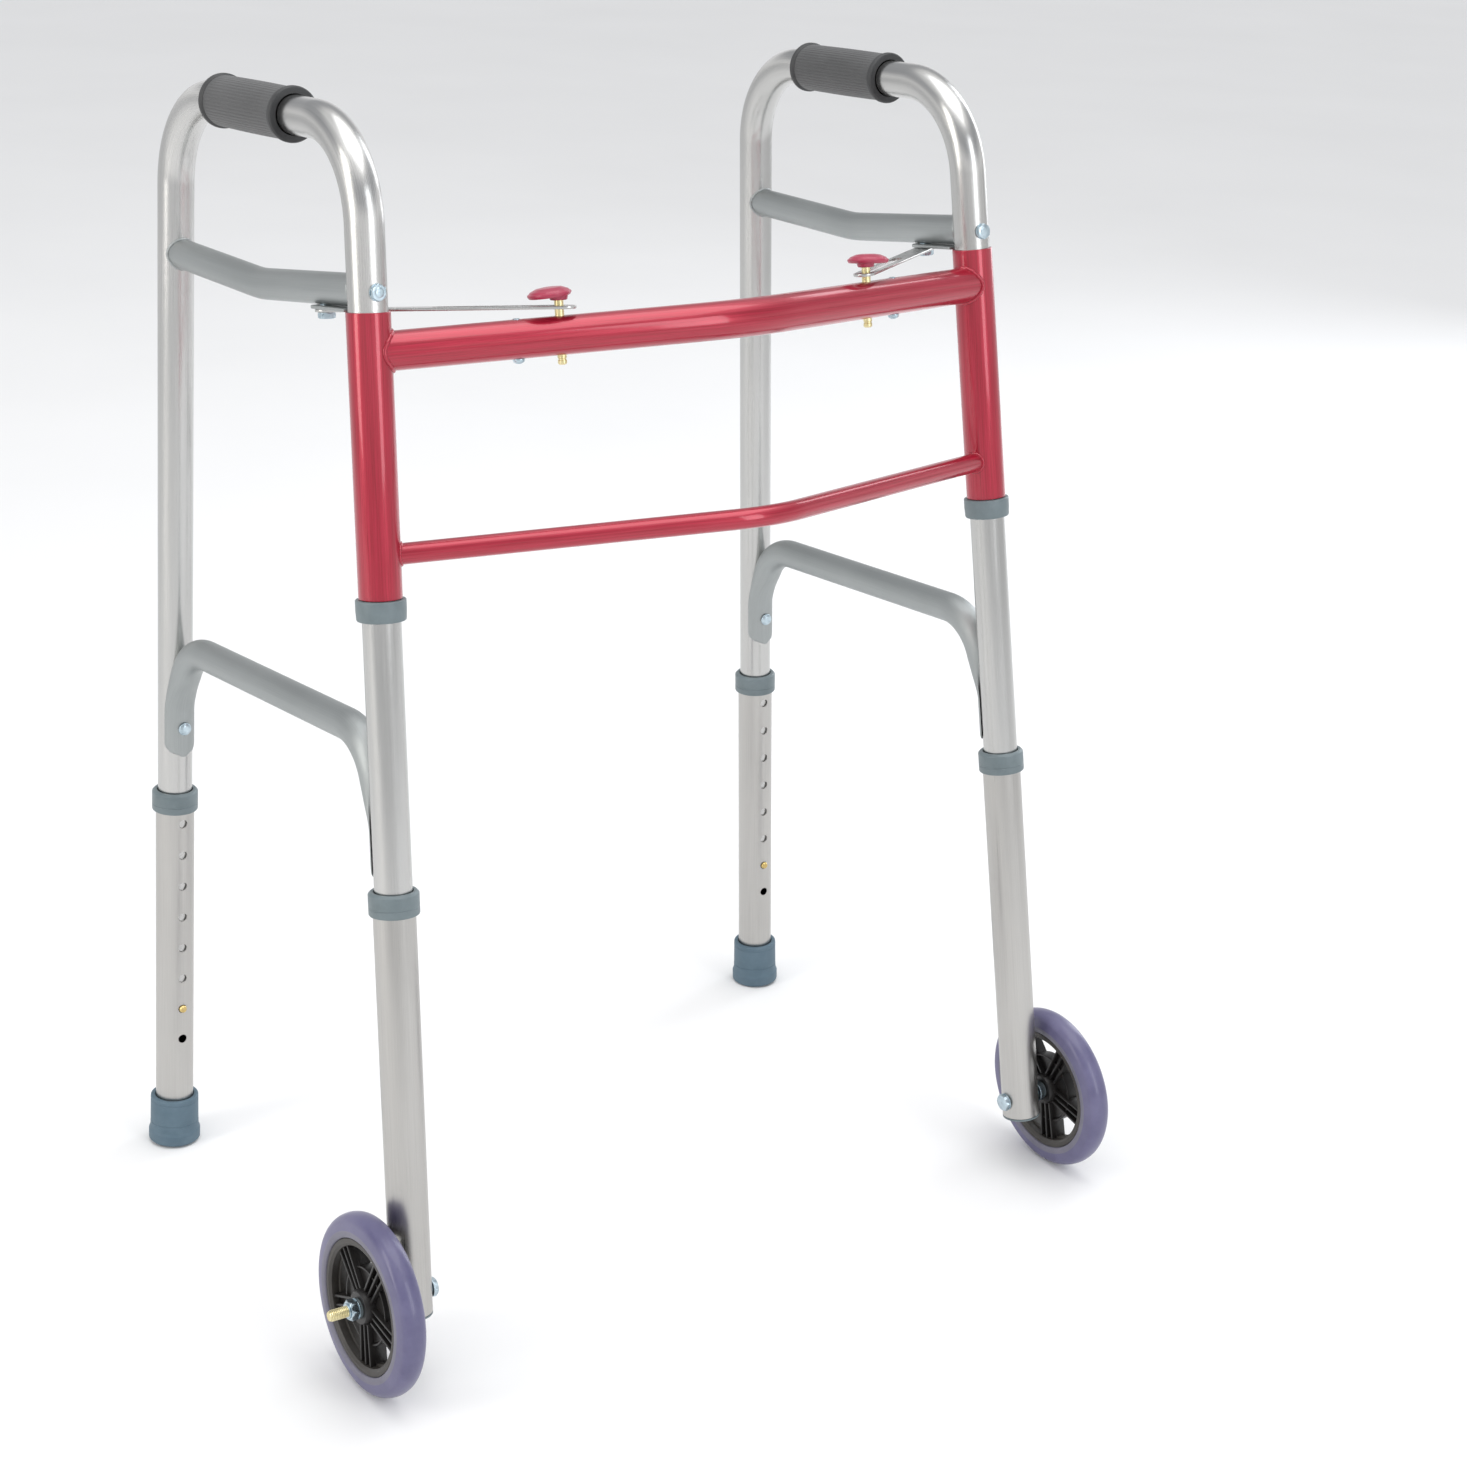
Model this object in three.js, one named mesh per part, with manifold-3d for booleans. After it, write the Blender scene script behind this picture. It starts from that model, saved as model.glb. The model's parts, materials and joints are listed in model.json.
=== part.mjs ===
// Folding walking frame with two front wheels, in millimetres, +Z up, front towards -Y.
// It stands on its wheels and rear tips at z = 0, with the origin under the middle of its box.
//
// Three nested frames place everything:
//   centre  x across, y back, z up the front legs in side view; origin between the sleeve tops
//   side    x outboard, y back, z up the front leg; origin on that leg at the sleeve top
//   rear    as side, but z up the rear leg; origin where the rear leg would meet the grip line
// The left side is the mirror image of the right side.

import * as THREE from 'three';
import { mergeVertices } from 'three/addons/utils/BufferGeometryUtils.js';
import Module from 'manifold-3d';

const wasm = await Module();
wasm.setup();

const DEGREE = Math.PI / 180;

// Tubes and running gaps
const SIDE_TUBE = { outer: 25.4, inner: 23.0 };
const SLEEVE_TUBE = { outer: 28.6, inner: 26.2 };
const LEG_TUBE = { outer: 28.6, inner: 26.2 };
const UPPER_BAR = { outer: 25.4, inner: 22.4 };
const LOWER_BAR = { outer: 14, inner: 11 };
const GAP = 0.3;

// Stance of the sides
const HALF_WIDTH = 243.5;
const SIDE_TILT = 2.26 * DEGREE;
const TOE_OUT = 1.38 * DEGREE;
const GRIP_RISE = 5.42 * DEGREE;
const LEG_SPLAY = 8.14 * DEGREE;

// Side frame: one tube bent twice, with its corners on the front leg and on the rear leg
const FRONT_CORNER_Z = 112.7;
const CORNER_SPACING = 263.5;
const FRONT_BEND = 65;
const REAR_BEND = 66;

// Sleeve and leg heights, measured down the front leg from the sleeve top
const SLEEVE_LENGTH = 182;
const COLLAR_HEIGHT = 16;
const COLLAR_OUTER = 34;
const FRONT_COLLAR_DEPTH = 384.4;
const FRONT_LEG_END = 673.6;
const AXLE_ABOVE_END = 13.5;

// Rear leg heights, measured down the rear leg from its corner, at the shortest setting
const REAR_COLLAR_DEPTH = 497.1;
const REAR_TIP_END = 781.8;
const TIP_HEIGHT = 38;
const TIP_BORE = 30;

// Height setting: eight holes in each leg, and the rear legs stand one hole longer
const HOLE_COUNT = 8;
const HOLE_PITCH = 25.4;
const HOLE = 6.8;
const FIRST_HOLE = 16.3;
const REAR_HOLES_OUT = 1;
const BUTTON_DEPTH = FIRST_HOLE + (HOLE_COUNT - 1) * HOLE_PITCH;
const INNER_TUBE_PAST_BUTTON = 12;

// Wheels
const WHEEL = { diameter: 127, width: 20, offset: 30.5, rim: 47.5 };
const AXLE = 8;

const LEG_BOLT_Z = 12.5;

// Folding latch: the link turns on the bracket and its slot slides on the latch pin
const PIVOT_BACK = 55.4;
const LATCH_PIN_X = 123.4;
const BRACKET = { width: 20, bottom: -0.4, thickness: 2 };
const LINK = { width: 15, top: -0.8, thickness: 2 };
const SLOT = { from: 68, to: 153.2, width: 6.9 };
const PIN = 6;

// Crossbars: heights of their axes below the sleeve top, and the bow of their middles
const UPPER_BAR_DROP = 25.6;
const UPPER_BOW = { forward: 63.8, rise: 2, bend: 150 };
const LOWER_BAR_DROP = 154.6;
const LOWER_BOW = { forward: 86, rise: 2.2, bend: 80 };

// Facets
const TUBE_SIDES = 16;
const SMALL_SIDES = 12;
const BORE_SIDES = 10;
const RING_SIDES = 16;
const WHEEL_SIDES = 32;
const BEND_STEPS = 5;

// ---------------------------------------------------------------- finishes

const finishes = {
  anodised: { color: 0xc4c6c7, roughness: 0.3, metalness: 0.9 },
  brushed: { color: 0x9ea4a5, roughness: 0.45, metalness: 0.85 },
  crimson: { color: 0xbe1c3a, roughness: 0.3, metalness: 0.1 },
  crimson_cap: { color: 0xa03c55, roughness: 0.45, metalness: 0 },
  grip_rubber: { color: 0x606060, roughness: 0.7, metalness: 0 },
  grey_plastic: { color: 0x6e7d82, roughness: 0.5, metalness: 0 },
  slate_rubber: { color: 0x556e7d, roughness: 0.7, metalness: 0 },
  tyre: { color: 0x64628c, roughness: 0.45, metalness: 0 },
  black_plastic: { color: 0x191614, roughness: 0.4, metalness: 0 },
  zinc: { color: 0x9cb0b8, roughness: 0.3, metalness: 0.9 },
  yellow_zinc: { color: 0xe6dca0, roughness: 0.3, metalness: 0.9 },
  brass: { color: 0xb59a5b, roughness: 0.35, metalness: 0.9 },
};

function addPart(parent, name, finish, geometry) {
  const mesh = new THREE.Mesh(geometry, new THREE.MeshStandardMaterial(finishes[finish]));
  mesh.name = name;
  parent.add(mesh);
  return mesh;
}

// ---------------------------------------------------------------- cuts and joins

function toSolid(geometry) {
  const bare = geometry.clone();
  bare.deleteAttribute('normal');
  bare.deleteAttribute('uv');
  const merged = mergeVertices(bare, 1e-4);
  return new wasm.Manifold(new wasm.Mesh({
    numProp: 3,
    vertProperties: Float32Array.from(merged.attributes.position.array),
    triVerts: Uint32Array.from(merged.index.array),
  }));
}

function toGeometry(solid) {
  const mesh = solid.getMesh();
  const geometry = new THREE.BufferGeometry();
  geometry.setAttribute('position', new THREE.BufferAttribute(mesh.vertProperties, 3));
  geometry.setIndex(new THREE.BufferAttribute(mesh.triVerts, 1));
  return geometry;
}

function cut(geometry, tools) {
  return toGeometry(tools.reduce((left, tool) => left.subtract(toSolid(tool)), toSolid(geometry)));
}

function join(geometries) {
  const [first, ...rest] = geometries.map(toSolid);
  return toGeometry(rest.reduce((sum, next) => sum.add(next), first));
}

// ---------------------------------------------------------------- basic shapes

// Points of a regular polygon; a bore is drawn around its circle so that it keeps its clearance.
function polygon(radius, sides, isBore = false) {
  const reach = isBore ? radius / Math.cos(Math.PI / sides) : radius;
  return Array.from({ length: sides }, (_, index) => {
    const angle = ((index + 0.5) / sides) * 2 * Math.PI;
    return new THREE.Vector2(reach * Math.cos(angle), reach * Math.sin(angle));
  });
}

function ringShape(outerRadius, innerRadius, sides = TUBE_SIDES, boreSides = sides) {
  const shape = new THREE.Shape(polygon(outerRadius, sides));
  shape.holes.push(new THREE.Path(polygon(innerRadius, boreSides, true)));
  return shape;
}

// A bent tube's bore fits nothing closely, so it takes fewer facets.
const tubeShape = ({ outer, inner }) => ringShape(outer / 2, inner / 2, TUBE_SIDES, BORE_SIDES);

function ovalShape(width, height, wall) {
  const oval = (w, h, sides) => polygon(0.5, sides).map((p) => new THREE.Vector2(p.x * w, p.y * h));
  const shape = new THREE.Shape(oval(width, height, TUBE_SIDES));
  shape.holes.push(new THREE.Path(oval(width - 2 * wall, height - 2 * wall, BORE_SIDES)));
  return shape;
}

// A straight prism of a shape between two heights on Z.
function prism(shape, bottom, top) {
  const geometry = new THREE.ExtrudeGeometry(shape, { depth: top - bottom, bevelEnabled: false });
  return geometry.translate(0, 0, bottom);
}

function ringPrism(outerRadius, innerRadius, bottom, top, sides = TUBE_SIDES) {
  return prism(ringShape(outerRadius, innerRadius, sides), bottom, top);
}

function rod(radius, bottom, top, sides = SMALL_SIDES) {
  return prism(new THREE.Shape(polygon(radius, sides)), bottom, top);
}

// A turned body around Z; the profile is a list of [radius, height] pairs going round it.
function turned(profile, sides) {
  const points = [...profile, profile[0]].map(([radius, height]) => new THREE.Vector2(radius, height));
  return new THREE.LatheGeometry(points, sides, Math.PI / sides).rotateX(Math.PI / 2);
}

// A turned body whose profile starts and ends on the axis.
function turnedSolid(profile, sides = SMALL_SIDES) {
  const points = profile.map(([radius, height]) => new THREE.Vector2(radius, height));
  return new THREE.LatheGeometry(points, sides, Math.PI / sides).rotateX(Math.PI / 2);
}

function box(width, depth, height, x, y, z) {
  return new THREE.BoxGeometry(width, depth, height).translate(x, y, z);
}

// Turns a body built along Z so that it lies along X (outboard) or along Y (back).
const alongX = (geometry) => geometry.rotateY(Math.PI / 2);
const alongY = (geometry) => geometry.rotateX(-Math.PI / 2);

// A hexagon-headed bolt along Z: the head rises from z = 0 and the shank runs down.
function bolt(headAcross, headHeight, shankRadius, shankLength) {
  const head = rod(headAcross / Math.sqrt(3), 0, headHeight, 6);
  return join([head, rod(shankRadius, -shankLength, 0.5)]);
}

// A dome-headed rivet along Z: the dome rises from z = 0 and the shank runs down.
function rivet(headRadius, headHeight, shankRadius, shankLength) {
  return turnedSolid([
    [0, -shankLength], [shankRadius, -shankLength], [shankRadius, 0], [headRadius, 0],
    [headRadius * 0.8, headHeight * 0.6], [headRadius * 0.4, headHeight * 0.95], [0, headHeight],
  ]);
}

// A run of straights joined by arcs in one plane. It is walked by its own stations, so that a
// straight takes one step and an arc takes BEND_STEPS.
class BentRun extends THREE.Curve {
  constructor(corners, radii) {
    super();
    const [first, second, third] = corners;
    this.across = second.clone().sub(first).cross(third.clone().sub(second)).normalize();
    this.points = [first];
    this.tangents = [second.clone().sub(first).normalize()];
    radii.forEach((radius, index) => this.addBend(corners, index + 1, radius));
    this.points.push(corners[corners.length - 1]);
    this.tangents.push(this.tangents[this.tangents.length - 1]);
    this.steps = this.points.length - 1;
  }

  addBend(corners, index, radius) {
    const corner = corners[index];
    const before = corner.clone().sub(corners[index - 1]).normalize();
    const after = corners[index + 1].clone().sub(corner).normalize();
    const turn = before.angleTo(after);
    const inward = after.clone().sub(before).normalize();
    const centre = corner.clone().addScaledVector(inward, radius / Math.cos(turn / 2));
    for (let step = 0; step <= BEND_STEPS; step += 1) {
      const angle = turn * (step / BEND_STEPS - 0.5);
      const forward = before.clone().add(after).normalize();
      const spoke = inward.clone().multiplyScalar(-Math.cos(angle)).addScaledVector(forward, Math.sin(angle));
      this.points.push(centre.clone().addScaledVector(spoke, radius));
      this.tangents.push(forward.multiplyScalar(Math.cos(angle)).addScaledVector(inward, Math.sin(angle)));
    }
  }

  getPointAt(u, target = new THREE.Vector3()) {
    return target.copy(this.points[Math.round(u * this.steps)]);
  }

  computeFrenetFrames() {
    const normals = this.tangents.map(() => this.across.clone());
    const binormals = this.tangents.map((tangent) => tangent.clone().cross(this.across));
    return { tangents: this.tangents, normals, binormals };
  }
}

function bentTube(shape, corners, radii) {
  const run = new BentRun(corners, radii);
  return new THREE.ExtrudeGeometry(shape, { steps: run.steps, extrudePath: run });
}

// ---------------------------------------------------------------- derived places

const sidePoint = (y, z) => new THREE.Vector3(0, y, z);

const frontCorner = sidePoint(0, FRONT_CORNER_Z);
const rearCorner = sidePoint(
  CORNER_SPACING * Math.cos(GRIP_RISE),
  FRONT_CORNER_Z + CORNER_SPACING * Math.sin(GRIP_RISE),
);
const rearDown = sidePoint(Math.sin(LEG_SPLAY), -Math.cos(LEG_SPLAY));
const onRearLeg = (depth, forward = 0) => rearCorner.clone()
  .addScaledVector(rearDown, depth)
  .addScaledVector(sidePoint(-Math.cos(LEG_SPLAY), -Math.sin(LEG_SPLAY)), forward);

const frontButtonDepth = FRONT_COLLAR_DEPTH + BUTTON_DEPTH;
const rearButtonDepth = REAR_COLLAR_DEPTH + BUTTON_DEPTH;
const rearLegDrop = REAR_HOLES_OUT * HOLE_PITCH;

// The sleeve leans in by SIDE_TILT, so its axis moves outboard on the way down.
const sleeveAxisX = (z) => HALF_WIDTH - z * Math.tan(SIDE_TILT);
const barPoint = (x, y, z) => new THREE.Vector3(x, y, z);

// The upper bar's axis is straight from the sleeve to near its middle; this is its point at a
// given x.
function onUpperBar(x) {
  const inward = 1 - Math.abs(x) / sleeveAxisX(-UPPER_BAR_DROP);
  return barPoint(x, -UPPER_BOW.forward * inward, UPPER_BOW.rise * inward - UPPER_BAR_DROP);
}

// ---------------------------------------------------------------- side frame

function sideFrameTube() {
  const tube = bentTube(
    tubeShape(SIDE_TUBE),
    [
      sidePoint(0, -frontButtonDepth - INNER_TUBE_PAST_BUTTON),
      frontCorner,
      rearCorner,
      onRearLeg(rearButtonDepth + INNER_TUBE_PAST_BUTTON),
    ],
    [FRONT_BEND, REAR_BEND],
  );
  const legBoltHole = alongY(rod(3.4, -20, 20)).translate(0, 0, LEG_BOLT_Z);
  const frontButtonHole = alongY(rod(HOLE / 2, 5, 20)).translate(0, 0, -frontButtonDepth);
  const rearButtonHole = alongY(rod(HOLE / 2, -20, -5)).rotateX(LEG_SPLAY)
    .translate(...onRearLeg(rearButtonDepth).toArray());
  const rivetHoles = braceRivetPlaces().map(({ place, turn }) => (
    alongY(rod(RIVET_HOLE, -5, 20)).rotateX(turn).translate(...place.toArray())
  ));
  return cut(tube, [legBoltHole, frontButtonHole, rearButtonHole, ...rivetHoles]);
}

const GRIP = { length: 104, centre: 139.5, body: 17, flange: 18.2, lip: 5 };

function handgrip() {
  const bore = SIDE_TUBE.outer / 2 + GAP + 0.2;
  const half = GRIP.length / 2;
  const profile = [
    [bore, -half], [GRIP.flange, -half], [GRIP.flange, -half + GRIP.lip], [GRIP.body, -half + GRIP.lip],
    [GRIP.body, half - GRIP.lip], [GRIP.flange, half - GRIP.lip], [GRIP.flange, half], [bore, half],
  ];
  const along = sidePoint(Math.cos(GRIP_RISE), Math.sin(GRIP_RISE));
  const centre = frontCorner.clone().addScaledVector(along, GRIP.centre);
  return alongY(turned(profile, RING_SIDES)).rotateX(GRIP_RISE).translate(...centre.toArray());
}

// ---------------------------------------------------------------- side braces

const LEG_CUTTER = SIDE_TUBE.outer / 2 + GAP;
const UPPER_BRACE = { width: 20, height: 21, wall: 1.6, bend: 120 };

function upperSideBrace() {
  const brace = bentTube(
    ovalShape(UPPER_BRACE.width, UPPER_BRACE.height, UPPER_BRACE.wall),
    [sidePoint(4, 13), sidePoint(145, 11.3), sidePoint(273, 27.5)],
    [UPPER_BRACE.bend],
  );
  const frontLeg = rod(LEG_CUTTER, -60, 80, TUBE_SIDES);
  const rearLeg = rod(LEG_CUTTER, -200, 0, TUBE_SIDES).rotateX(LEG_SPLAY).translate(...rearCorner.toArray());
  return cut(brace, [frontLeg, rearLeg]);
}

// The lower brace is a round tube bent down at both ends; each end is flattened into a saddle
// that lies against its leg and is held by one rivet.
const LOWER_BRACE = { outer: 22.2, inner: 19.4, bend: 42, front: -276, rear: 397 };
const SADDLE = { thickness: 3.4, width: 21 };
const SADDLE_BACK = LEG_CUTTER + SADDLE.thickness / 2 + 0.3;
const FRONT_SADDLE_END = -371;
const REAR_SADDLE_END = 484;
const RIVET_UP = 22;
const RIVET_HOLE = 2.9;

function lowerSideBrace() {
  const frontTop = sidePoint(SADDLE_BACK, LOWER_BRACE.front);
  const rearTop = onRearLeg(LOWER_BRACE.rear, SADDLE_BACK);
  const frontEnd = sidePoint(SADDLE_BACK, FRONT_SADDLE_END);
  const rearEnd = onRearLeg(REAR_SADDLE_END, SADDLE_BACK);
  const tube = bentTube(
    tubeShape(LOWER_BRACE),
    [frontTop.clone().lerp(frontEnd, 0.5), frontTop, rearTop, rearTop.clone().lerp(rearEnd, 0.5)],
    [LOWER_BRACE.bend, LOWER_BRACE.bend],
  );
  const strap = bentTube(
    new THREE.Shape([
      new THREE.Vector2(-SADDLE.width / 2, -SADDLE.thickness / 2),
      new THREE.Vector2(SADDLE.width / 2, -SADDLE.thickness / 2),
      new THREE.Vector2(SADDLE.width / 2, SADDLE.thickness / 2),
      new THREE.Vector2(-SADDLE.width / 2, SADDLE.thickness / 2),
    ]),
    [frontEnd, frontTop, rearTop, rearEnd],
    [LOWER_BRACE.bend, LOWER_BRACE.bend],
  );
  const legs = [
    rod(LEG_CUTTER, -400, -200, TUBE_SIDES),
    rod(LEG_CUTTER, -520, -340, TUBE_SIDES).rotateX(LEG_SPLAY).translate(...rearCorner.toArray()),
  ];
  const rivetHoles = braceRivetPlaces().map(({ place, turn }) => (
    alongY(rod(RIVET_HOLE, -5, 30)).rotateX(turn).translate(...place.toArray())
  ));
  return cut(join([tube, strap]), [...legs, ...rivetHoles]);
}

// Each rivet's place on its leg axis, and the turn that points a rivet along +Y out of the leg.
function braceRivetPlaces() {
  return [
    { name: 'front', place: sidePoint(0, FRONT_SADDLE_END + RIVET_UP), turn: 0 },
    { name: 'rear', place: onRearLeg(REAR_SADDLE_END - RIVET_UP), turn: LEG_SPLAY + Math.PI },
  ];
}

function braceRivet({ place, turn }) {
  const seat = SADDLE_BACK + SADDLE.thickness / 2 + 0.3;
  return alongY(rivet(5, 2.6, 2.4, 7.5).translate(0, 0, seat)).rotateX(turn).translate(...place.toArray());
}

// ---------------------------------------------------------------- folding latch

function legBolt() {
  const seat = SIDE_TUBE.outer / 2 + 0.4;
  return alongY(bolt(10, 3, 2.9, 38)).rotateX(Math.PI).translate(0, -seat, LEG_BOLT_Z);
}

function foldBracket() {
  const start = SLEEVE_TUBE.outer / 2 + 0.8;
  const halfWidth = BRACKET.width / 2;
  const outline = new THREE.Shape();
  outline.moveTo(-halfWidth, start);
  outline.lineTo(halfWidth, start);
  outline.lineTo(halfWidth, PIVOT_BACK);
  outline.absarc(0, PIVOT_BACK, halfWidth, 0, Math.PI, false);
  outline.lineTo(-halfWidth, start);
  outline.holes.push(new THREE.Path(
    polygon(PIN / 2 + GAP, SMALL_SIDES, true).map((point) => point.add(new THREE.Vector2(0, PIVOT_BACK))),
  ));
  return new THREE.ExtrudeGeometry(outline, {
    depth: BRACKET.thickness, bevelEnabled: false, curveSegments: 8,
  }).translate(0, 0, BRACKET.bottom);
}

// The link lies along +X here and is turned to point at the latch pin.
function latchLink() {
  const halfWidth = LINK.width / 2;
  const outline = new THREE.Shape();
  outline.absarc(SLOT.to, 0, halfWidth, -Math.PI / 2, Math.PI / 2, false);
  outline.absarc(0, 0, halfWidth, Math.PI / 2, 1.5 * Math.PI, false);
  const slot = new THREE.Path();
  slot.absarc(SLOT.to - SLOT.width / 2, 0, SLOT.width / 2, -Math.PI / 2, Math.PI / 2, false);
  slot.absarc(SLOT.from + SLOT.width / 2, 0, SLOT.width / 2, Math.PI / 2, 1.5 * Math.PI, false);
  outline.holes.push(slot, new THREE.Path(polygon(PIN / 2 + GAP, SMALL_SIDES, true)));
  return new THREE.ExtrudeGeometry(outline, {
    depth: LINK.thickness, bevelEnabled: false, curveSegments: 6,
  }).translate(0, 0, LINK.top - LINK.thickness);
}

function linkPivotBolt() {
  const shankTop = BRACKET.bottom + BRACKET.thickness;
  const headTop = LINK.top - LINK.thickness - GAP;
  const head = rod(5.8, headTop - 4, headTop, 6);
  return join([head, rod(PIN / 2, headTop - 0.5, shankTop)]).translate(0, PIVOT_BACK, 0);
}

// The press cap is a round mushroom set back from its stem, which stands over the latch pin.
const CAP = { radius: 14.5, lift: 11.6, setBack: 5.6, tilt: 5 * DEGREE };
const STEM = { bottom: 7.8, radius: 3 };

// Heights from here are above the upper bar's axis; linkTurn is the way to the link's pivot.
function releaseCap(linkTurn) {
  const bottom = UPPER_BAR.outer / 2 + CAP.lift;
  const disc = turnedSolid([
    [0, 0], [9, 0], [CAP.radius - 0.8, 1.2], [CAP.radius, 2.6], [CAP.radius - 2.2, 4.6], [9, 6.2], [0, 6.8],
  ], RING_SIDES).rotateY(CAP.tilt).translate(CAP.setBack, 0, bottom).rotateZ(linkTurn);
  return join([disc, rod(STEM.radius, UPPER_BAR.outer / 2 + STEM.bottom, bottom + 2)]);
}

function latchPin() {
  const below = -UPPER_BAR.outer / 2 - 6;
  return rod(PIN / 2, below, UPPER_BAR.outer / 2 + 4.1, SMALL_SIDES);
}

function guideRivet() {
  return rivet(4, 2.6, 2.4, UPPER_BAR.outer + 1).rotateX(Math.PI).translate(0, 0, -UPPER_BAR.outer / 2 - 0.4);
}

// ---------------------------------------------------------------- legs

function collar(innerRadius, lipRadius) {
  const half = COLLAR_HEIGHT / 2;
  const lipBottom = half - 2.4;
  return turned([
    [innerRadius, -half], [COLLAR_OUTER / 2, -half], [COLLAR_OUTER / 2, half - 1.5],
    [COLLAR_OUTER / 2 - 1.5, half], [lipRadius, half], [lipRadius, lipBottom], [innerRadius, lipBottom],
  ], RING_SIDES);
}

const legCollar = () => collar(LEG_TUBE.outer / 2 + GAP, SIDE_TUBE.outer / 2 + GAP + 0.3);
const TUBE_TOP_ABOVE_COLLAR_CENTRE = COLLAR_HEIGHT / 2 - 2.4 - GAP;

// Leg tube along Z from 0 at the collar's centre; its row of holes faces +Y or -Y.
function legTube(length, facing, crossHoles) {
  const tube = ringPrism(LEG_TUBE.outer / 2, LEG_TUBE.inner / 2, -length, TUBE_TOP_ABOVE_COLLAR_CENTRE);
  const holes = Array.from({ length: HOLE_COUNT }, (_, index) => (
    alongY(rod(HOLE / 2, 5, 20, 8)).rotateX(facing > 0 ? 0 : Math.PI)
      .translate(0, 0, -FIRST_HOLE - index * HOLE_PITCH)
  ));
  return cut(tube, [...holes, ...crossHoles]);
}

const BUTTON = { radius: 3, proud: 2.6, base: 5.2, baseThickness: 2.5 };

// Spring button along +Z, seated inside the side tube and standing out through the leg's hole.
function snapButton() {
  const wall = SIDE_TUBE.inner / 2 - 1.4;
  const tip = LEG_TUBE.outer / 2 + BUTTON.proud;
  return turnedSolid([
    [0, wall - BUTTON.baseThickness], [BUTTON.base, wall - BUTTON.baseThickness], [BUTTON.base, wall],
    [BUTTON.radius, wall], [BUTTON.radius, tip - 1.5], [BUTTON.radius * 0.7, tip - 0.4], [0, tip],
  ]);
}

function rubberTip() {
  const bore = LEG_TUBE.outer / 2 + GAP + 0.2;
  return turnedSolid([
    [0, 0], [18.2, 0], [19.7, 1.5], [19.7, 9], [18.4, 11], [18, TIP_HEIGHT - 1.5], [17, TIP_HEIGHT],
    [bore, TIP_HEIGHT], [bore, TIP_HEIGHT - TIP_BORE], [0, TIP_HEIGHT - TIP_BORE],
  ], RING_SIDES);
}

function endPlug() {
  const bore = LEG_TUBE.inner / 2 - GAP;
  return turnedSolid([
    [0, -2.5], [LEG_TUBE.outer / 2 - 1, -2.5], [LEG_TUBE.outer / 2, -1.5], [LEG_TUBE.outer / 2, -GAP],
    [bore, -GAP], [bore, 8], [0, 8],
  ], TUBE_SIDES);
}

// ---------------------------------------------------------------- wheels, turned about Z

const HUB = { boss: 12, bore: 7, halfWidth: 10, web: 26, webHalfWidth: 3, rimInner: 42 };
const SPOKES = { count: 5, width: 14, depth: 13 };
const BUSHING = { outer: 6.7, inner: AXLE / 2 + 0.3, halfLength: 11 };
const SPACER = { outer: 8, inner: AXLE / 2 + 0.3 };

function wheelTyre() {
  const outer = WHEEL.diameter / 2;
  const half = WHEEL.width / 2;
  const inner = WHEEL.rim + GAP;
  return turned([
    [inner, -half + 1], [inner + 5, -half], [outer - 5.5, -half + 2.2], [outer - 1.5, -half + 6],
    [outer, 0], [outer - 1.5, half - 6], [outer - 5.5, half - 2.2], [inner + 5, half], [inner, half - 1],
  ], WHEEL_SIDES);
}

function wheelHub() {
  const spokeLength = HUB.rimInner + 2 - HUB.boss + 2;
  const middle = HUB.boss - 2 + spokeLength / 2;
  const spokes = Array.from({ length: SPOKES.count }, (_, index) => (
    box(spokeLength, SPOKES.width, SPOKES.depth, middle, 0, 0)
      .rotateZ((index / SPOKES.count) * 2 * Math.PI)
  ));
  return join([
    ringPrism(WHEEL.rim, HUB.rimInner, -HUB.halfWidth + 1, HUB.halfWidth - 1, WHEEL_SIDES),
    ringPrism(HUB.boss, HUB.bore, -HUB.halfWidth, HUB.halfWidth, RING_SIDES),
    ringPrism(HUB.web, HUB.bore, -HUB.webHalfWidth, HUB.webHalfWidth, RING_SIDES),
    ...spokes,
  ]);
}

const wheelBushing = () => (
  ringPrism(BUSHING.outer, BUSHING.inner, -BUSHING.halfLength, BUSHING.halfLength)
);

// ---------------------------------------------------------------- assembly

function buildRearLeg(side, name) {
  const rear = new THREE.Group();
  rear.position.copy(rearCorner);
  rear.rotation.x = LEG_SPLAY;
  side.add(rear);

  const collarZ = -REAR_COLLAR_DEPTH - rearLegDrop;
  const tipBottom = -REAR_TIP_END - rearLegDrop;
  const tubeLength = REAR_TIP_END - REAR_COLLAR_DEPTH - (TIP_HEIGHT - TIP_BORE) - GAP;
  addPart(rear, name('rear_leg_tube'), 'anodised', legTube(tubeLength, -1, [])).position.z = collarZ;
  addPart(rear, name('rear_leg_collar'), 'grey_plastic', legCollar()).position.z = collarZ;
  addPart(rear, name('rear_rubber_tip'), 'slate_rubber', rubberTip()).position.z = tipBottom;
  const button = alongY(snapButton()).rotateX(Math.PI);
  addPart(rear, name('rear_snap_button'), 'brass', button).position.z = -rearButtonDepth;
}

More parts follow.
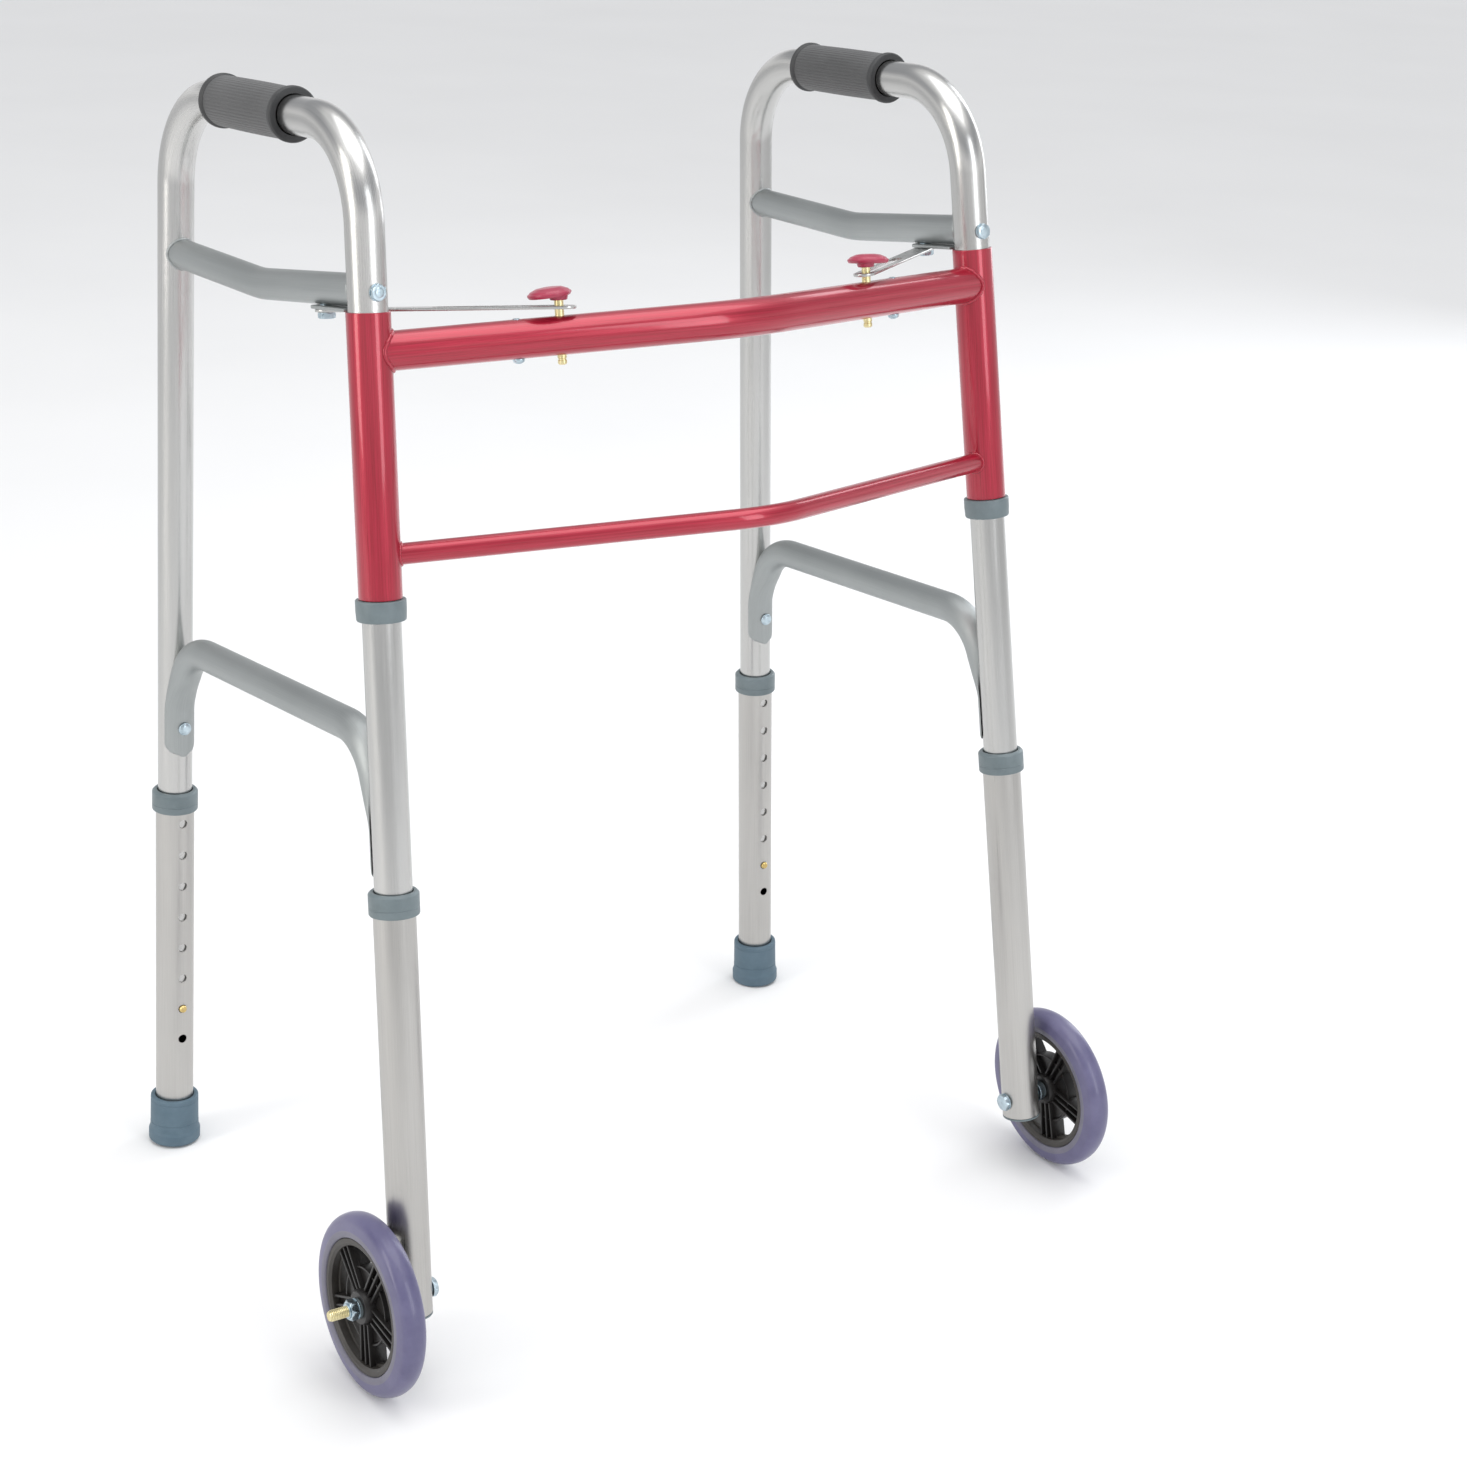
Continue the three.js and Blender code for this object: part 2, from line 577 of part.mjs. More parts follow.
function buildFrontLeg(side, name) {
  const axleZ = -FRONT_LEG_END + AXLE_ABOVE_END;
  const tubeLength = FRONT_LEG_END - FRONT_COLLAR_DEPTH;
  const axleHole = alongX(rod(AXLE / 2 + 0.4, -20, 20)).translate(0, 0, axleZ + FRONT_COLLAR_DEPTH);
  addPart(side, name('front_leg_tube'), 'anodised', legTube(tubeLength, 1, [axleHole]))
    .position.z = -FRONT_COLLAR_DEPTH;
  addPart(side, name('front_leg_collar'), 'grey_plastic', legCollar()).position.z = -FRONT_COLLAR_DEPTH;
  addPart(side, name('front_leg_end_plug'), 'grey_plastic', endPlug()).position.z = -FRONT_LEG_END;
  addPart(side, name('front_snap_button'), 'brass', alongY(snapButton())).position.z = -frontButtonDepth;
  buildWheel(side, name, axleZ);
}

function buildWheel(side, name, axleZ) {
  const wheel = new THREE.Group();
  wheel.position.set(WHEEL.offset, 0, axleZ);
  wheel.rotation.y = Math.PI / 2;
  side.add(wheel);

  const legSide = LEG_TUBE.outer / 2 - WHEEL.offset;
  const bushingEnd = BUSHING.halfLength;
  addPart(wheel, name('wheel_tyre'), 'tyre', wheelTyre());
  addPart(wheel, name('wheel_hub'), 'black_plastic', wheelHub());
  addPart(wheel, name('wheel_bushing'), 'grey_plastic', wheelBushing());
  addPart(wheel, name('axle_spacer'), 'zinc',
    ringPrism(SPACER.outer, SPACER.inner, legSide + GAP, -bushingEnd - GAP));
  addPart(wheel, name('axle_nut'), 'zinc',
    ringPrism(7.5, AXLE / 2 + 0.15, bushingEnd + GAP, bushingEnd + 6.8, 6));
  const headSeat = -WHEEL.offset - LEG_TUBE.outer / 2 - GAP;
  const boltEnd = bushingEnd + 21;
  addPart(wheel, name('axle_bolt'), 'zinc',
    bolt(11, 3.8, AXLE / 2, boltEnd - headSeat).rotateX(Math.PI).translate(0, 0, headSeat));
}

function buildSide(centre, label, mirror) {
  const name = (piece) => `${label}_${piece}`;
  const side = new THREE.Group();
  side.position.x = mirror * HALF_WIDTH;
  side.rotation.set(0, -mirror * SIDE_TILT, -mirror * TOE_OUT, 'XYZ');
  side.scale.x = mirror;
  centre.add(side);

  addPart(side, name('side_frame_tube'), 'anodised', sideFrameTube());
  addPart(side, name('handgrip'), 'grip_rubber', handgrip());
  addPart(side, name('upper_side_brace'), 'brushed', upperSideBrace());
  addPart(side, name('lower_side_brace'), 'brushed', lowerSideBrace());
  braceRivetPlaces().forEach((spot) => {
    addPart(side, name(`lower_brace_${spot.name}_rivet`), 'zinc', braceRivet(spot));
  });
  addPart(side, name('leg_bolt'), 'zinc', legBolt());
  addPart(side, name('fold_bracket'), 'brushed', foldBracket());
  addPart(side, name('link_pivot_bolt'), 'zinc', linkPivotBolt());

  const link = addPart(side, name('latch_link'), 'anodised', latchLink());
  const pin = latchPinInSide(side, mirror);
  link.position.y = PIVOT_BACK;
  link.rotation.z = Math.atan2(pin.y - PIVOT_BACK, pin.x);

  addPart(side, name('sleeve_tube'), 'crimson',
    ringPrism(SLEEVE_TUBE.outer / 2, SLEEVE_TUBE.inner / 2, -SLEEVE_LENGTH, 0));
  addPart(side, name('sleeve_collar'), 'grey_plastic', sleeveCollar());
  buildFrontLeg(side, name);
  buildRearLeg(side, name);
}

function sleeveCollar() {
  const top = -SLEEVE_LENGTH - GAP;
  const inner = SIDE_TUBE.outer / 2 + GAP;
  return ringPrism(COLLAR_OUTER / 2 - 0.5, inner, top - COLLAR_HEIGHT + 2, top, RING_SIDES);
}

// The latch pin's place, seen from a side.
function latchPinInSide(side, mirror) {
  side.updateMatrix();
  const top = onUpperBar(mirror * LATCH_PIN_X).add(barPoint(0, 0, UPPER_BAR.outer / 2));
  return top.applyMatrix4(side.matrix.clone().invert());
}

// A crossbar's two ends meet the sleeves; it is one tube bent forward in the middle.
function crossbar(tube, drop, bow, holes) {
  const reach = sleeveAxisX(-drop);
  const short = 8 / reach;
  const barEnd = (mirror) => barPoint(mirror * (reach - 8), -bow.forward * short, bow.rise * short - drop);
  const bar = bentTube(
    tubeShape(tube),
    [barEnd(-1), barPoint(0, -bow.forward, bow.rise - drop), barEnd(1)],
    [bow.bend],
  );
  const sleeves = [-1, 1].map((mirror) => (
    rod(SLEEVE_TUBE.outer / 2 + GAP, -40, 40, TUBE_SIDES).rotateY(-mirror * SIDE_TILT)
      .translate(mirror * reach, 0, -drop)
  ));
  return cut(bar, [...sleeves, ...holes]);
}

const GUIDE_RIVET_OUTBOARD = 28;

function buildCentre(centre) {
  const pinHoles = [];
  [['left', -1], ['right', 1]].forEach(([label, mirror]) => {
    const pin = onUpperBar(mirror * LATCH_PIN_X);
    const guide = onUpperBar(mirror * (LATCH_PIN_X + GUIDE_RIVET_OUTBOARD));
    const linkTurn = Math.atan2(PIVOT_BACK - pin.y, mirror * HALF_WIDTH - pin.x);
    addPart(centre, `${label}_release_cap`, 'crimson_cap', releaseCap(linkTurn)).position.copy(pin);
    addPart(centre, `${label}_latch_pin`, 'yellow_zinc', latchPin()).position.copy(pin);
    addPart(centre, `${label}_guide_rivet`, 'zinc', guideRivet()).position.copy(guide);
    pinHoles.push(rod(PIN / 2 + 0.4, -20, 20).translate(...pin.toArray()));
    pinHoles.push(rod(2.8, -20, 20).translate(...guide.toArray()));
  });
  addPart(centre, 'upper_crossbar', 'crimson', crossbar(UPPER_BAR, UPPER_BAR_DROP, UPPER_BOW, pinHoles));
  addPart(centre, 'lower_crossbar', 'crimson', crossbar(LOWER_BAR, LOWER_BAR_DROP, LOWER_BOW, []));
}

// Turns the frame about X until its wheels and its rear tips stand at one height, and moves the
// middle of its box over the origin.
function setDown(model, centre) {
  const lowest = (name) => {
    const extent = new THREE.Box3().setFromObject(model.getObjectByName(name), true);
    return { z: extent.min.z, y: (extent.min.y + extent.max.y) / 2 };
  };
  for (let step = 0; step < 6; step += 1) {
    model.updateMatrixWorld(true);
    const wheel = lowest('right_wheel_tyre');
    const tip = lowest('right_rear_rubber_tip');
    centre.rotation.x -= Math.atan2(tip.z - wheel.z, tip.y - wheel.y);
  }
  model.updateMatrixWorld(true);
  const extent = new THREE.Box3().setFromObject(model, true);
  const middle = extent.getCenter(new THREE.Vector3());
  centre.position.set(-middle.x, -middle.y, -extent.min.z);
}

const walkingFrame = new THREE.Group();
const centreFrame = new THREE.Group();
centreFrame.rotation.x = -GRIP_RISE;
walkingFrame.add(centreFrame);
buildCentre(centreFrame);
buildSide(centreFrame, 'left', -1);
buildSide(centreFrame, 'right', 1);
setDown(walkingFrame, centreFrame);

export default walkingFrame;
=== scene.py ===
"""The looks of the folding walking frame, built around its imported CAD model.

Lengths are in millimetres until a piece is placed. Three frames place every piece:
  centre  x across, y back, z up the front legs; origin between the sleeve tops
  side    x outboard, y back, z up the front leg; origin on that leg at the sleeve top
  rear    as side, with z up the rear leg; origin where the rear leg meets the grip line
Wheels turn about their own z, which points outboard.
"""

import json
import math

import bpy
from mathutils import Matrix, Vector


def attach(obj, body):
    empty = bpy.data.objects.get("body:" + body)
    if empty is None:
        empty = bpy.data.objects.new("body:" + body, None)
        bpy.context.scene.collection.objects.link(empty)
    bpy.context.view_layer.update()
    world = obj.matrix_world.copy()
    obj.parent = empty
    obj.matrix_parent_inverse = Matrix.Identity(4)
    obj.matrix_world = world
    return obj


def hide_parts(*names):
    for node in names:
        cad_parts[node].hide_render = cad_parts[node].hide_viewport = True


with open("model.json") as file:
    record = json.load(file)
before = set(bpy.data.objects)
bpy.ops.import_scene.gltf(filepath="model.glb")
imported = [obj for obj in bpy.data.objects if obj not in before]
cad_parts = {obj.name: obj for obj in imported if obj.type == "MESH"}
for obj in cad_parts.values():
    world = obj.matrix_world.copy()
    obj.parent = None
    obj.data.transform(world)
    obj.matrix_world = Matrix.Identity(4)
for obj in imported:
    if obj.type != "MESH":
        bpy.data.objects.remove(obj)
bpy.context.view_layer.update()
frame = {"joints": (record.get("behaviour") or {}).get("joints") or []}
joints = {joint["name"]: joint for joint in frame["joints"]}

MM = 0.001
SIDES = {"left": -1, "right": 1}

# Sizes shared with the CAD model
TUBE_R = 12.7
TUBE_BORE_R = 11.5
SLEEVE_R, SLEEVE_BORE_R = 14.3, 13.1
HALF_WIDTH = 243.5
SIDE_TILT = math.radians(2.26)
GRIP_RISE = math.radians(5.42)
LEG_SPLAY = math.radians(8.14)
FRONT_CORNER_Z = 112.7
CORNER_SPACING = 263.5
FRONT_BEND, REAR_BEND = 65.0, 66.0
FRONT_TUBE_END = -590.5
REAR_TUBE_END = 703.2
SLEEVE_LENGTH = 182.0
FRONT_COLLAR = -384.4
REAR_COLLAR = -522.5
FRONT_LEG_END = -673.6
REAR_TIP_END = -807.2
TIP_HEIGHT, TIP_BORE_DEPTH = 38.0, 30.0
HOLE_R = 3.4
HOLE_PITCH = 25.4
FIRST_HOLE = 16.3
HOLE_COUNT = 8
FRONT_BUTTON = -578.5
REAR_BUTTON = -691.2
AXLE_Z = -660.1
WHEEL_OUT = 30.5
TYRE_R = 63.5
RIM_R, RIM_INNER = 47.5, 42.0
SPOKE_COUNT = 5
UPPER_BAR = {"r": 12.7, "drop": 25.6, "forward": 63.8, "rise": 2.0, "bend": 150.0}
LOWER_BAR = {"r": 7.0, "drop": 154.6, "forward": 86.0, "rise": 2.2, "bend": 80.0}
LATCH_PIN_X = 123.4
GUIDE_RIVET_X = LATCH_PIN_X + 28.0
PIVOT_BACK = 55.4
SLOT_FROM, SLOT_TO, SLOT_WIDTH = 68.0, 153.2, 6.9
BRACKET_BOTTOM, BRACKET_TOP = -0.4, 1.6
LINK_BOTTOM, LINK_TOP, LINK_HALF_WIDTH = -2.8, -0.8, 7.5
CAP_LIFT, CAP_SET_BACK, CAP_TILT = 11.6, 5.6, math.radians(5)
BRACE_FRONT_TOP, BRACE_FRONT_END = -276, -371
BRACE_REAR_TOP, BRACE_REAR_END = 397, 484
LEG_BOLT_Z = 12.5

REAR_CORNER = Vector((0.0, CORNER_SPACING * math.cos(GRIP_RISE),
                      FRONT_CORNER_Z + CORNER_SPACING * math.sin(GRIP_RISE)))
FRONT_CORNER = Vector((0.0, 0.0, FRONT_CORNER_Z))
REAR_DOWN = Vector((0.0, math.sin(LEG_SPLAY), -math.cos(LEG_SPLAY)))
REAR_FORWARD = Vector((0.0, -math.cos(LEG_SPLAY), -math.sin(LEG_SPLAY)))


def on_rear_leg(depth, forward=0.0):
    return REAR_CORNER + REAR_DOWN * depth + REAR_FORWARD * forward


# ---------------------------------------------------------------- where things are

def axes(origin, x, z, mirror):
    """Matrix from millimetres in a frame to the row frame; mirror -1 makes it left-handed."""
    x, z = Vector(x).normalized(), Vector(z).normalized()
    x = (x - z * x.dot(z)).normalized()
    y = z.cross(x) * mirror
    columns = [x * MM, y * MM, z * MM, Vector(origin)]
    rows = [[column[row] for column in columns] for row in range(3)]
    return Matrix(rows + [[0.0, 0.0, 0.0, 1.0]])


PLACES = {}
for label, mirror in SIDES.items():
    fold = joints[f"{label}_fold"]
    spin = joints[f"{label}_wheel_spin"]
    side = axes(fold["pos_m"], spin["axis"], Vector(fold["axis"]) * mirror, mirror)
    rear_up = -Vector(joints[f"{label}_rear_leg_slide"]["axis"])
    PLACES[label] = {
        "side": side,
        "rear": axes(side @ REAR_CORNER, spin["axis"], rear_up, mirror),
    }
press = Vector(joints["right_release_press"]["axis"])
_, sleeve_y, sleeve_z = joints["right_fold"]["pos_m"]
CENTRE = axes((0.0, sleeve_y, sleeve_z), (1.0, 0.0, 0.0), -press, 1)


def turn(axis, angle):
    return Matrix.Rotation(angle, 4, axis)


def move(x=0.0, y=0.0, z=0.0):
    return Matrix.Translation((x, y, z))


ALONG_Y = turn("X", -math.pi / 2)
ALONG_X = turn("Y", math.pi / 2)


# ---------------------------------------------------------------- shapes

class Shape:
    """Vertices, faces and UVs in millimetres, with one material number per face."""

    def __init__(self):
        self.verts, self.faces, self.uvs, self.mats = [], [], [], []

    def add_face(self, corners, uvs, mat=0):
        self.faces.append(corners)
        self.uvs.append(uvs)
        self.mats.append(mat)

    def moved(self, matrix):
        result = Shape()
        result.verts = [matrix @ v for v in self.verts]
        result.faces, result.uvs, result.mats = self.faces, self.uvs, self.mats
        return result

    def paint(self, mat):
        self.mats = [mat] * len(self.faces)
        return self


def together(*shapes):
    total = Shape()
    for shape in shapes:
        start = len(total.verts)
        total.verts += shape.verts
        total.faces += [[corner + start for corner in face] for face in shape.faces]
        total.uvs += shape.uvs
        total.mats += shape.mats
    return total


def loft(rings, cyclic=False, capped=True):
    """Skins a list of closed rings of equal length; cyclic joins the last ring to the first."""
    shape = Shape()
    count = len(rings[0])
    shape.verts = [Vector(p) for ring in rings for p in ring]
    lengths = [0.0]
    for before, after in zip(rings, rings[1:] + rings[:1]):
        lengths.append(lengths[-1] + (Vector(after[0]) - Vector(before[0])).length)
    girth = max(
        sum((Vector(ring[i]) - Vector(ring[i - 1])).length for i in range(count)) for ring in rings
    )
    for row in range(len(rings) if cyclic else len(rings) - 1):
        below, above = row * count, ((row + 1) % len(rings)) * count
        for i in range(count):
            j = (i + 1) % count
            left, right = girth * i / count, girth * (i + 1) / count
            shape.add_face(
                [below + i, below + j, above + j, above + i],
                [(left, lengths[row]), (right, lengths[row]),
                 (right, lengths[row + 1]), (left, lengths[row + 1])],
            )
    if capped and not cyclic:
        last = (len(rings) - 1) * count
        for corners in (list(range(count))[::-1], [last + i for i in range(count)]):
            shape.add_face(corners, [tuple(shape.verts[c].xy) for c in corners])
    return shape


def fillet(points, closed=False, steps=5):
    """Rounds the corners of an outline; a point's third number is its corner's radius."""
    rounded = []
    count = len(points)
    for index, point in enumerate(points):
        radius = point[2] if len(point) > 2 else 0.0
        here = Vector(point[:2])
        at_end = not closed and index in (0, count - 1)
        if radius <= 0.0 or at_end:
            rounded.append(tuple(here))
            continue
        before = (Vector(points[index - 1][:2]) - here)
        after = (Vector(points[(index + 1) % count][:2]) - here)
        half = before.angle(after) / 2
        back = min(radius / math.tan(half), before.length * 0.49, after.length * 0.49)
        start, end = here + before.normalized() * back, here + after.normalized() * back
        for step in range(steps + 1):
            t = step / steps
            rounded.append(tuple(start * (1 - t) ** 2 + here * 2 * t * (1 - t) + end * t ** 2))
    return rounded


def circle(radius, count, phase=0.0):
    return [
        (radius * math.cos(2 * math.pi * i / count + phase),
         radius * math.sin(2 * math.pi * i / count + phase))
        for i in range(count)
    ]


def lathe(profile, count=48, closed=False, ripple=None):
    """Turns a profile of (radius, height, corner radius) about z. closed is for a ring with a bore.

    The profile runs anticlockwise in (radius, height), so that faces point out. ripple(angle,
    radius, height) may change the radius.
    """
    rings = []
    for radius, height in fillet(profile, closed):
        if radius <= 1e-6:
            continue
        ring = []
        for i in range(count):
            angle = 2 * math.pi * i / count
            r = ripple(angle, radius, height) if ripple else radius
            ring.append((r * math.cos(angle), r * math.sin(angle), height))
        rings.append(ring)
    return loft(rings, cyclic=closed, capped=not closed)


def bar(radius, bottom, top, count=32, edge=0.4):
    return lathe([(0, bottom), (radius, bottom, edge), (radius, top, edge), (0, top)], count)


def pipe(outer, inner, bottom, top, count=64, edge=0.4):
    return lathe([(inner, bottom, edge), (outer, bottom, edge), (outer, top, edge), (inner, top, edge)],
                 count, closed=True)


def plate(outline, bottom, top, edge=0.4, holes=()):
    """A flat plate with rounded edges. Each hole is an outline with as many points as the plate's."""
    def inset(points, amount):
        count = len(points)
        moved = []
        for i in range(count):
            a, b, c = (Vector(points[k % count]) for k in (i - 1, i, i + 1))
            out = Vector(((c - a).y, -(c - a).x))
            moved.append(b - out.normalized() * amount if out.length > 1e-9 else b)
        return moved

    levels = [(edge, bottom), (edge * 0.3, bottom + edge * 0.3), (0.0, bottom + edge),
              (0.0, top - edge), (edge * 0.3, top - edge * 0.3), (edge, top)]
    outer = [[(p.x, p.y, z) for p in inset(outline, amount)] for amount, z in levels]
    if not holes:
        return loft(outer)
    inner = [[(x, y, z) for x, y in holes[0]] for z in (top, bottom)]
    return loft(outer + inner, cyclic=True)


def walk(corners, radii, straight_step=40.0, turn_step=math.radians(4)):
    """Stations (point, tangent) along straights joined by arcs, and the normal of their plane."""
    across = (corners[1] - corners[0]).cross(corners[2] - corners[1]).normalized()
    stations = [(corners[0], (corners[1] - corners[0]).normalized())]

    def straight_to(point):
        start, tangent = stations[-1]
        count = max(1, round((point - start).length / straight_step))
        for step in range(1, count + 1):
            stations.append((start.lerp(point, step / count), tangent))

    for index, radius in enumerate(radii, 1):
        corner = corners[index]
        before = (corner - corners[index - 1]).normalized()
        after = (corners[index + 1] - corner).normalized()
        angle = before.angle(after)
        inward = (after - before).normalized()
        forward = (before + after).normalized()
        centre = corner + inward * (radius / math.cos(angle / 2))
        straight_to(corner - before * radius * math.tan(angle / 2))
        count = max(2, round(angle / turn_step))
        for step in range(1, count + 1):
            a = angle * (step / count - 0.5)
            spoke = inward * -math.cos(a) + forward * math.sin(a)
            stations.append((centre + spoke * radius, forward * math.cos(a) + inward * math.sin(a)))
    straight_to(corners[-1])
    return stations, across


def sweep(stations, across, section, capped=True):
    """Sweeps section(index) -> [(along across, along tangent x across)] along stations."""
    rings = []
    for index, (point, tangent) in enumerate(stations):
        other = tangent.cross(across)
        rings.append([point + across * a + other * b for a, b in section(index)][::-1])
    return loft(rings, capped=capped)


def hollow(stations, across, outer, inner, count=64):
    outside = sweep(stations, across, lambda i: circle(outer, count), capped=False)
    inside = sweep(stations[::-1], -across, lambda i: circle(inner, count), capped=False)
    shape = together(outside, inside)
    rings = len(stations)
    for ring_out, ring_in in ((0, 2 * rings - 1), (rings - 1, rings)):
        flip = ring_out != 0
        for i in range(count):
            j = (i + 1) % count
            corners = [ring_out * count + j, ring_out * count + i,
                       ring_in * count + i, ring_in * count + j]
            shape.add_face(corners[::-1] if flip else corners, [(0, 0), (1, 0), (1, 1), (0, 1)])
    return shape


def reach_cylinder(start, direction, axis_point, axis_dir, radius):
    """The point along direction from start that lies on a cylinder's surface."""
    def flat(v):
        return v - axis_dir * v.dot(axis_dir)
    s, d = flat(start - axis_point), flat(direction)
    a, b, c = d.dot(d), 2 * s.dot(d), s.dot(s) - radius * radius
    return start + direction * ((-b + math.sqrt(max(b * b - 4 * a * c, 0.0))) / (2 * a))


def weld(centre, direction, across, half_sizes, axis_point, axis_dir, radius, bead=1.7):
    """A rippled bead where a tube along direction meets a round tube of that radius."""
    other = direction.cross(across).normalized()
    count = 72
    path = []
    for i in range(count):
        a = 2 * math.pi * i / count
        start = centre + across * half_sizes[0] * math.cos(a) + other * half_sizes[1] * math.sin(a)
        path.append(reach_cylinder(start, direction, axis_point, axis_dir, radius))
    middle = sum(path, Vector()) / count
    rings = []
    for i, point in enumerate(path):
        tangent = (path[(i + 1) % count] - path[i - 1]).normalized()
        normal = (direction - tangent * direction.dot(tangent)).normalized()
        third = tangent.cross(normal)
        size = bead * (1.0 + 0.1 * math.cos(i * math.pi * 2 / 4))
        rings.append([point + normal * x + third * y for x, y in circle(size, 12)])
    if (path[1] - path[0]).cross(direction).dot(path[0] - middle) > 0:
        rings = [ring[::-1] for ring in rings]
    return loft(rings, cyclic=True)


def hex_head(across_flats, height, washer=0.0):
    """A hexagon head rising from z = 0, its corners chamfered, on an optional washer face."""
    count = 48
    corner_r = across_flats / math.sqrt(3)

    def reach(angle):
        sector = (angle + math.pi / 6) % (math.pi / 3) - math.pi / 6
        return across_flats / 2 / math.cos(sector)

    chamfer = across_flats / 2 * 1.02
    rings = []
    for level, limit in ((0.0, chamfer), (0.06, corner_r), (0.8, corner_r), (0.93, chamfer),
                         (1.0, chamfer * 0.93)):
        ring = []
        for i in range(count):
            angle = 2 * math.pi * i / count
            r = min(reach(angle), limit)
            ring.append((r * math.cos(angle), r * math.sin(angle), washer + (height - washer) * level))
        rings.append(ring)
    head = loft(rings)
    if washer:
        head = together(head, bar(across_flats / 2 * 1.12, 0, washer + 0.05, 48, 0.2))
    return head


def threaded_rod(radius, bottom, top, pitch=1.25):
    around = 24
    steps = round((top - bottom) / pitch * 8)
    rings = []
    for step in range(steps + 1):
        z = bottom + (top - bottom) * step / steps
        fade = min(1.0, (top - z) / 1.6)
        ring = []
        for i in range(around):
            phase = (z / pitch - i / around) % 1.0
            depth = 0.45 * abs(phase * 2 - 1)
            r = radius - depth - 0.7 * (1 - fade)
            ring.append((r * math.cos(2 * math.pi * i / around), r * math.sin(2 * math.pi * i / around), z))
        rings.append(ring)
    return loft(rings)


# ---------------------------------------------------------------- materials

def new_material(name):
    material = bpy.data.materials.new(name)
    material.use_nodes = True
    tree = material.node_tree
    tree.nodes.clear()
    output = tree.nodes.new("ShaderNodeOutputMaterial")
    shader = tree.nodes.new("ShaderNodeBsdfPrincipled")
    tree.links.new(shader.outputs["BSDF"], output.inputs["Surface"])
    return material, tree, shader


def coordinates(tree, kind, scale):
    source = tree.nodes.new("ShaderNodeTexCoord")
    mapping = tree.nodes.new("ShaderNodeMapping")
    mapping.inputs["Scale"].default_value = scale
    tree.links.new(source.outputs[kind], mapping.inputs["Vector"])
    return mapping.outputs["Vector"]


def noise(tree, vector, scale, detail=3.0, roughness=0.5):
    node = tree.nodes.new("ShaderNodeTexNoise")
    node.inputs["Scale"].default_value = scale
    node.inputs["Detail"].default_value = detail
    node.inputs["Roughness"].default_value = roughness
    tree.links.new(vector, node.inputs["Vector"])
    return node.outputs["Fac"]


def ramp(tree, value, stops):
    node = tree.nodes.new("ShaderNodeValToRGB")
    node.color_ramp.elements[0].position, node.color_ramp.elements[1].position = stops[0][0], stops[-1][0]
    for position, _ in stops[1:-1]:
        node.color_ramp.elements.new(position)
    for element, (_, colour) in zip(node.color_ramp.elements, stops):
        element.color = (*colour, 1.0)
    tree.links.new(value, node.inputs["Fac"])
    return node.outputs["Color"]


def spread(tree, value, low, high, start=0.3, end=0.7):
    node = tree.nodes.new("ShaderNodeMapRange")
    for socket, number in (("From Min", start), ("From Max", end), ("To Min", low), ("To Max", high)):
        node.inputs[socket].default_value = number
    tree.links.new(value, node.inputs["Value"])
    return node.outputs["Result"]


def add_bump(tree, shader, height, distance, strength=1.0, below=None):
    node = tree.nodes.new("ShaderNodeBump")
    node.inputs["Strength"].default_value = strength
    node.inputs["Distance"].default_value = distance
    tree.links.new(height, node.inputs["Height"])
    if below is not None:
        tree.links.new(below, node.inputs["Normal"])
    tree.links.new(node.outputs["Normal"], shader.inputs["Normal"])
    return node.outputs["Normal"]


def drawn_metal(name, dark, light, rough, streak=1.0, scuff=0.0):
    """Drawn tube: fine die lines along its length, cloudy anodising and faint scuffs round it."""
    material, tree, shader = new_material(name)
    shader.inputs["Metallic"].default_value = 1.0
    shader.inputs["Anisotropic"].default_value = 0.55
    tangent = tree.nodes.new("ShaderNodeTangent")
    tangent.direction_type, tangent.uv_map = "UV_MAP", "UVMap"
    tree.links.new(tangent.outputs["Tangent"], shader.inputs["Tangent"])
    lines = noise(tree, coordinates(tree, "UV", (2.2, 0.012, 1.0)), 1.0, 4.0, 0.65)
    clouds = noise(tree, coordinates(tree, "Object", (9.0, 9.0, 4.0)), 1.0, 3.0)
    both = tree.nodes.new("ShaderNodeMath")
    both.operation = "MULTIPLY_ADD"
    both.inputs[1].default_value = 0.65
    tree.links.new(lines, both.inputs[0])
    half = spread(tree, clouds, 0.0, 0.35, 0.2, 0.8)
    tree.links.new(half, both.inputs[2])
    tree.links.new(ramp(tree, both.outputs[0], [(0.25, dark), (0.75, light)]), shader.inputs["Base Color"])
    tree.links.new(spread(tree, both.outputs[0], rough[0], rough[1]), shader.inputs["Roughness"])
    normal = add_bump(tree, shader, lines, 0.00006 * streak, 0.6)
    if scuff:
        rings = noise(tree, coordinates(tree, "UV", (0.05, 1.6, 1.0)), 1.0, 3.0, 0.7)
        add_bump(tree, shader, spread(tree, rings, 0.0, 1.0, 0.62, 0.8), 0.00005 * scuff, 0.5, normal)
    return material


def plated(name, dark, light, rough):
    """Small plated hardware: cloudy passivation, tiny pits."""
    material, tree, shader = new_material(name)
    shader.inputs["Metallic"].default_value = 1.0
    clouds = noise(tree, coordinates(tree, "Object", (1.0, 1.0, 1.0)), 160.0, 4.0, 0.6)
    tree.links.new(ramp(tree, clouds, [(0.3, dark), (0.7, light)]), shader.inputs["Base Color"])
    tree.links.new(spread(tree, clouds, rough[0], rough[1]), shader.inputs["Roughness"])
    pits = noise(tree, coordinates(tree, "Object", (1.0, 1.0, 1.0)), 1400.0, 2.0)
    add_bump(tree, shader, pits, 0.00004, 0.5)
    return material


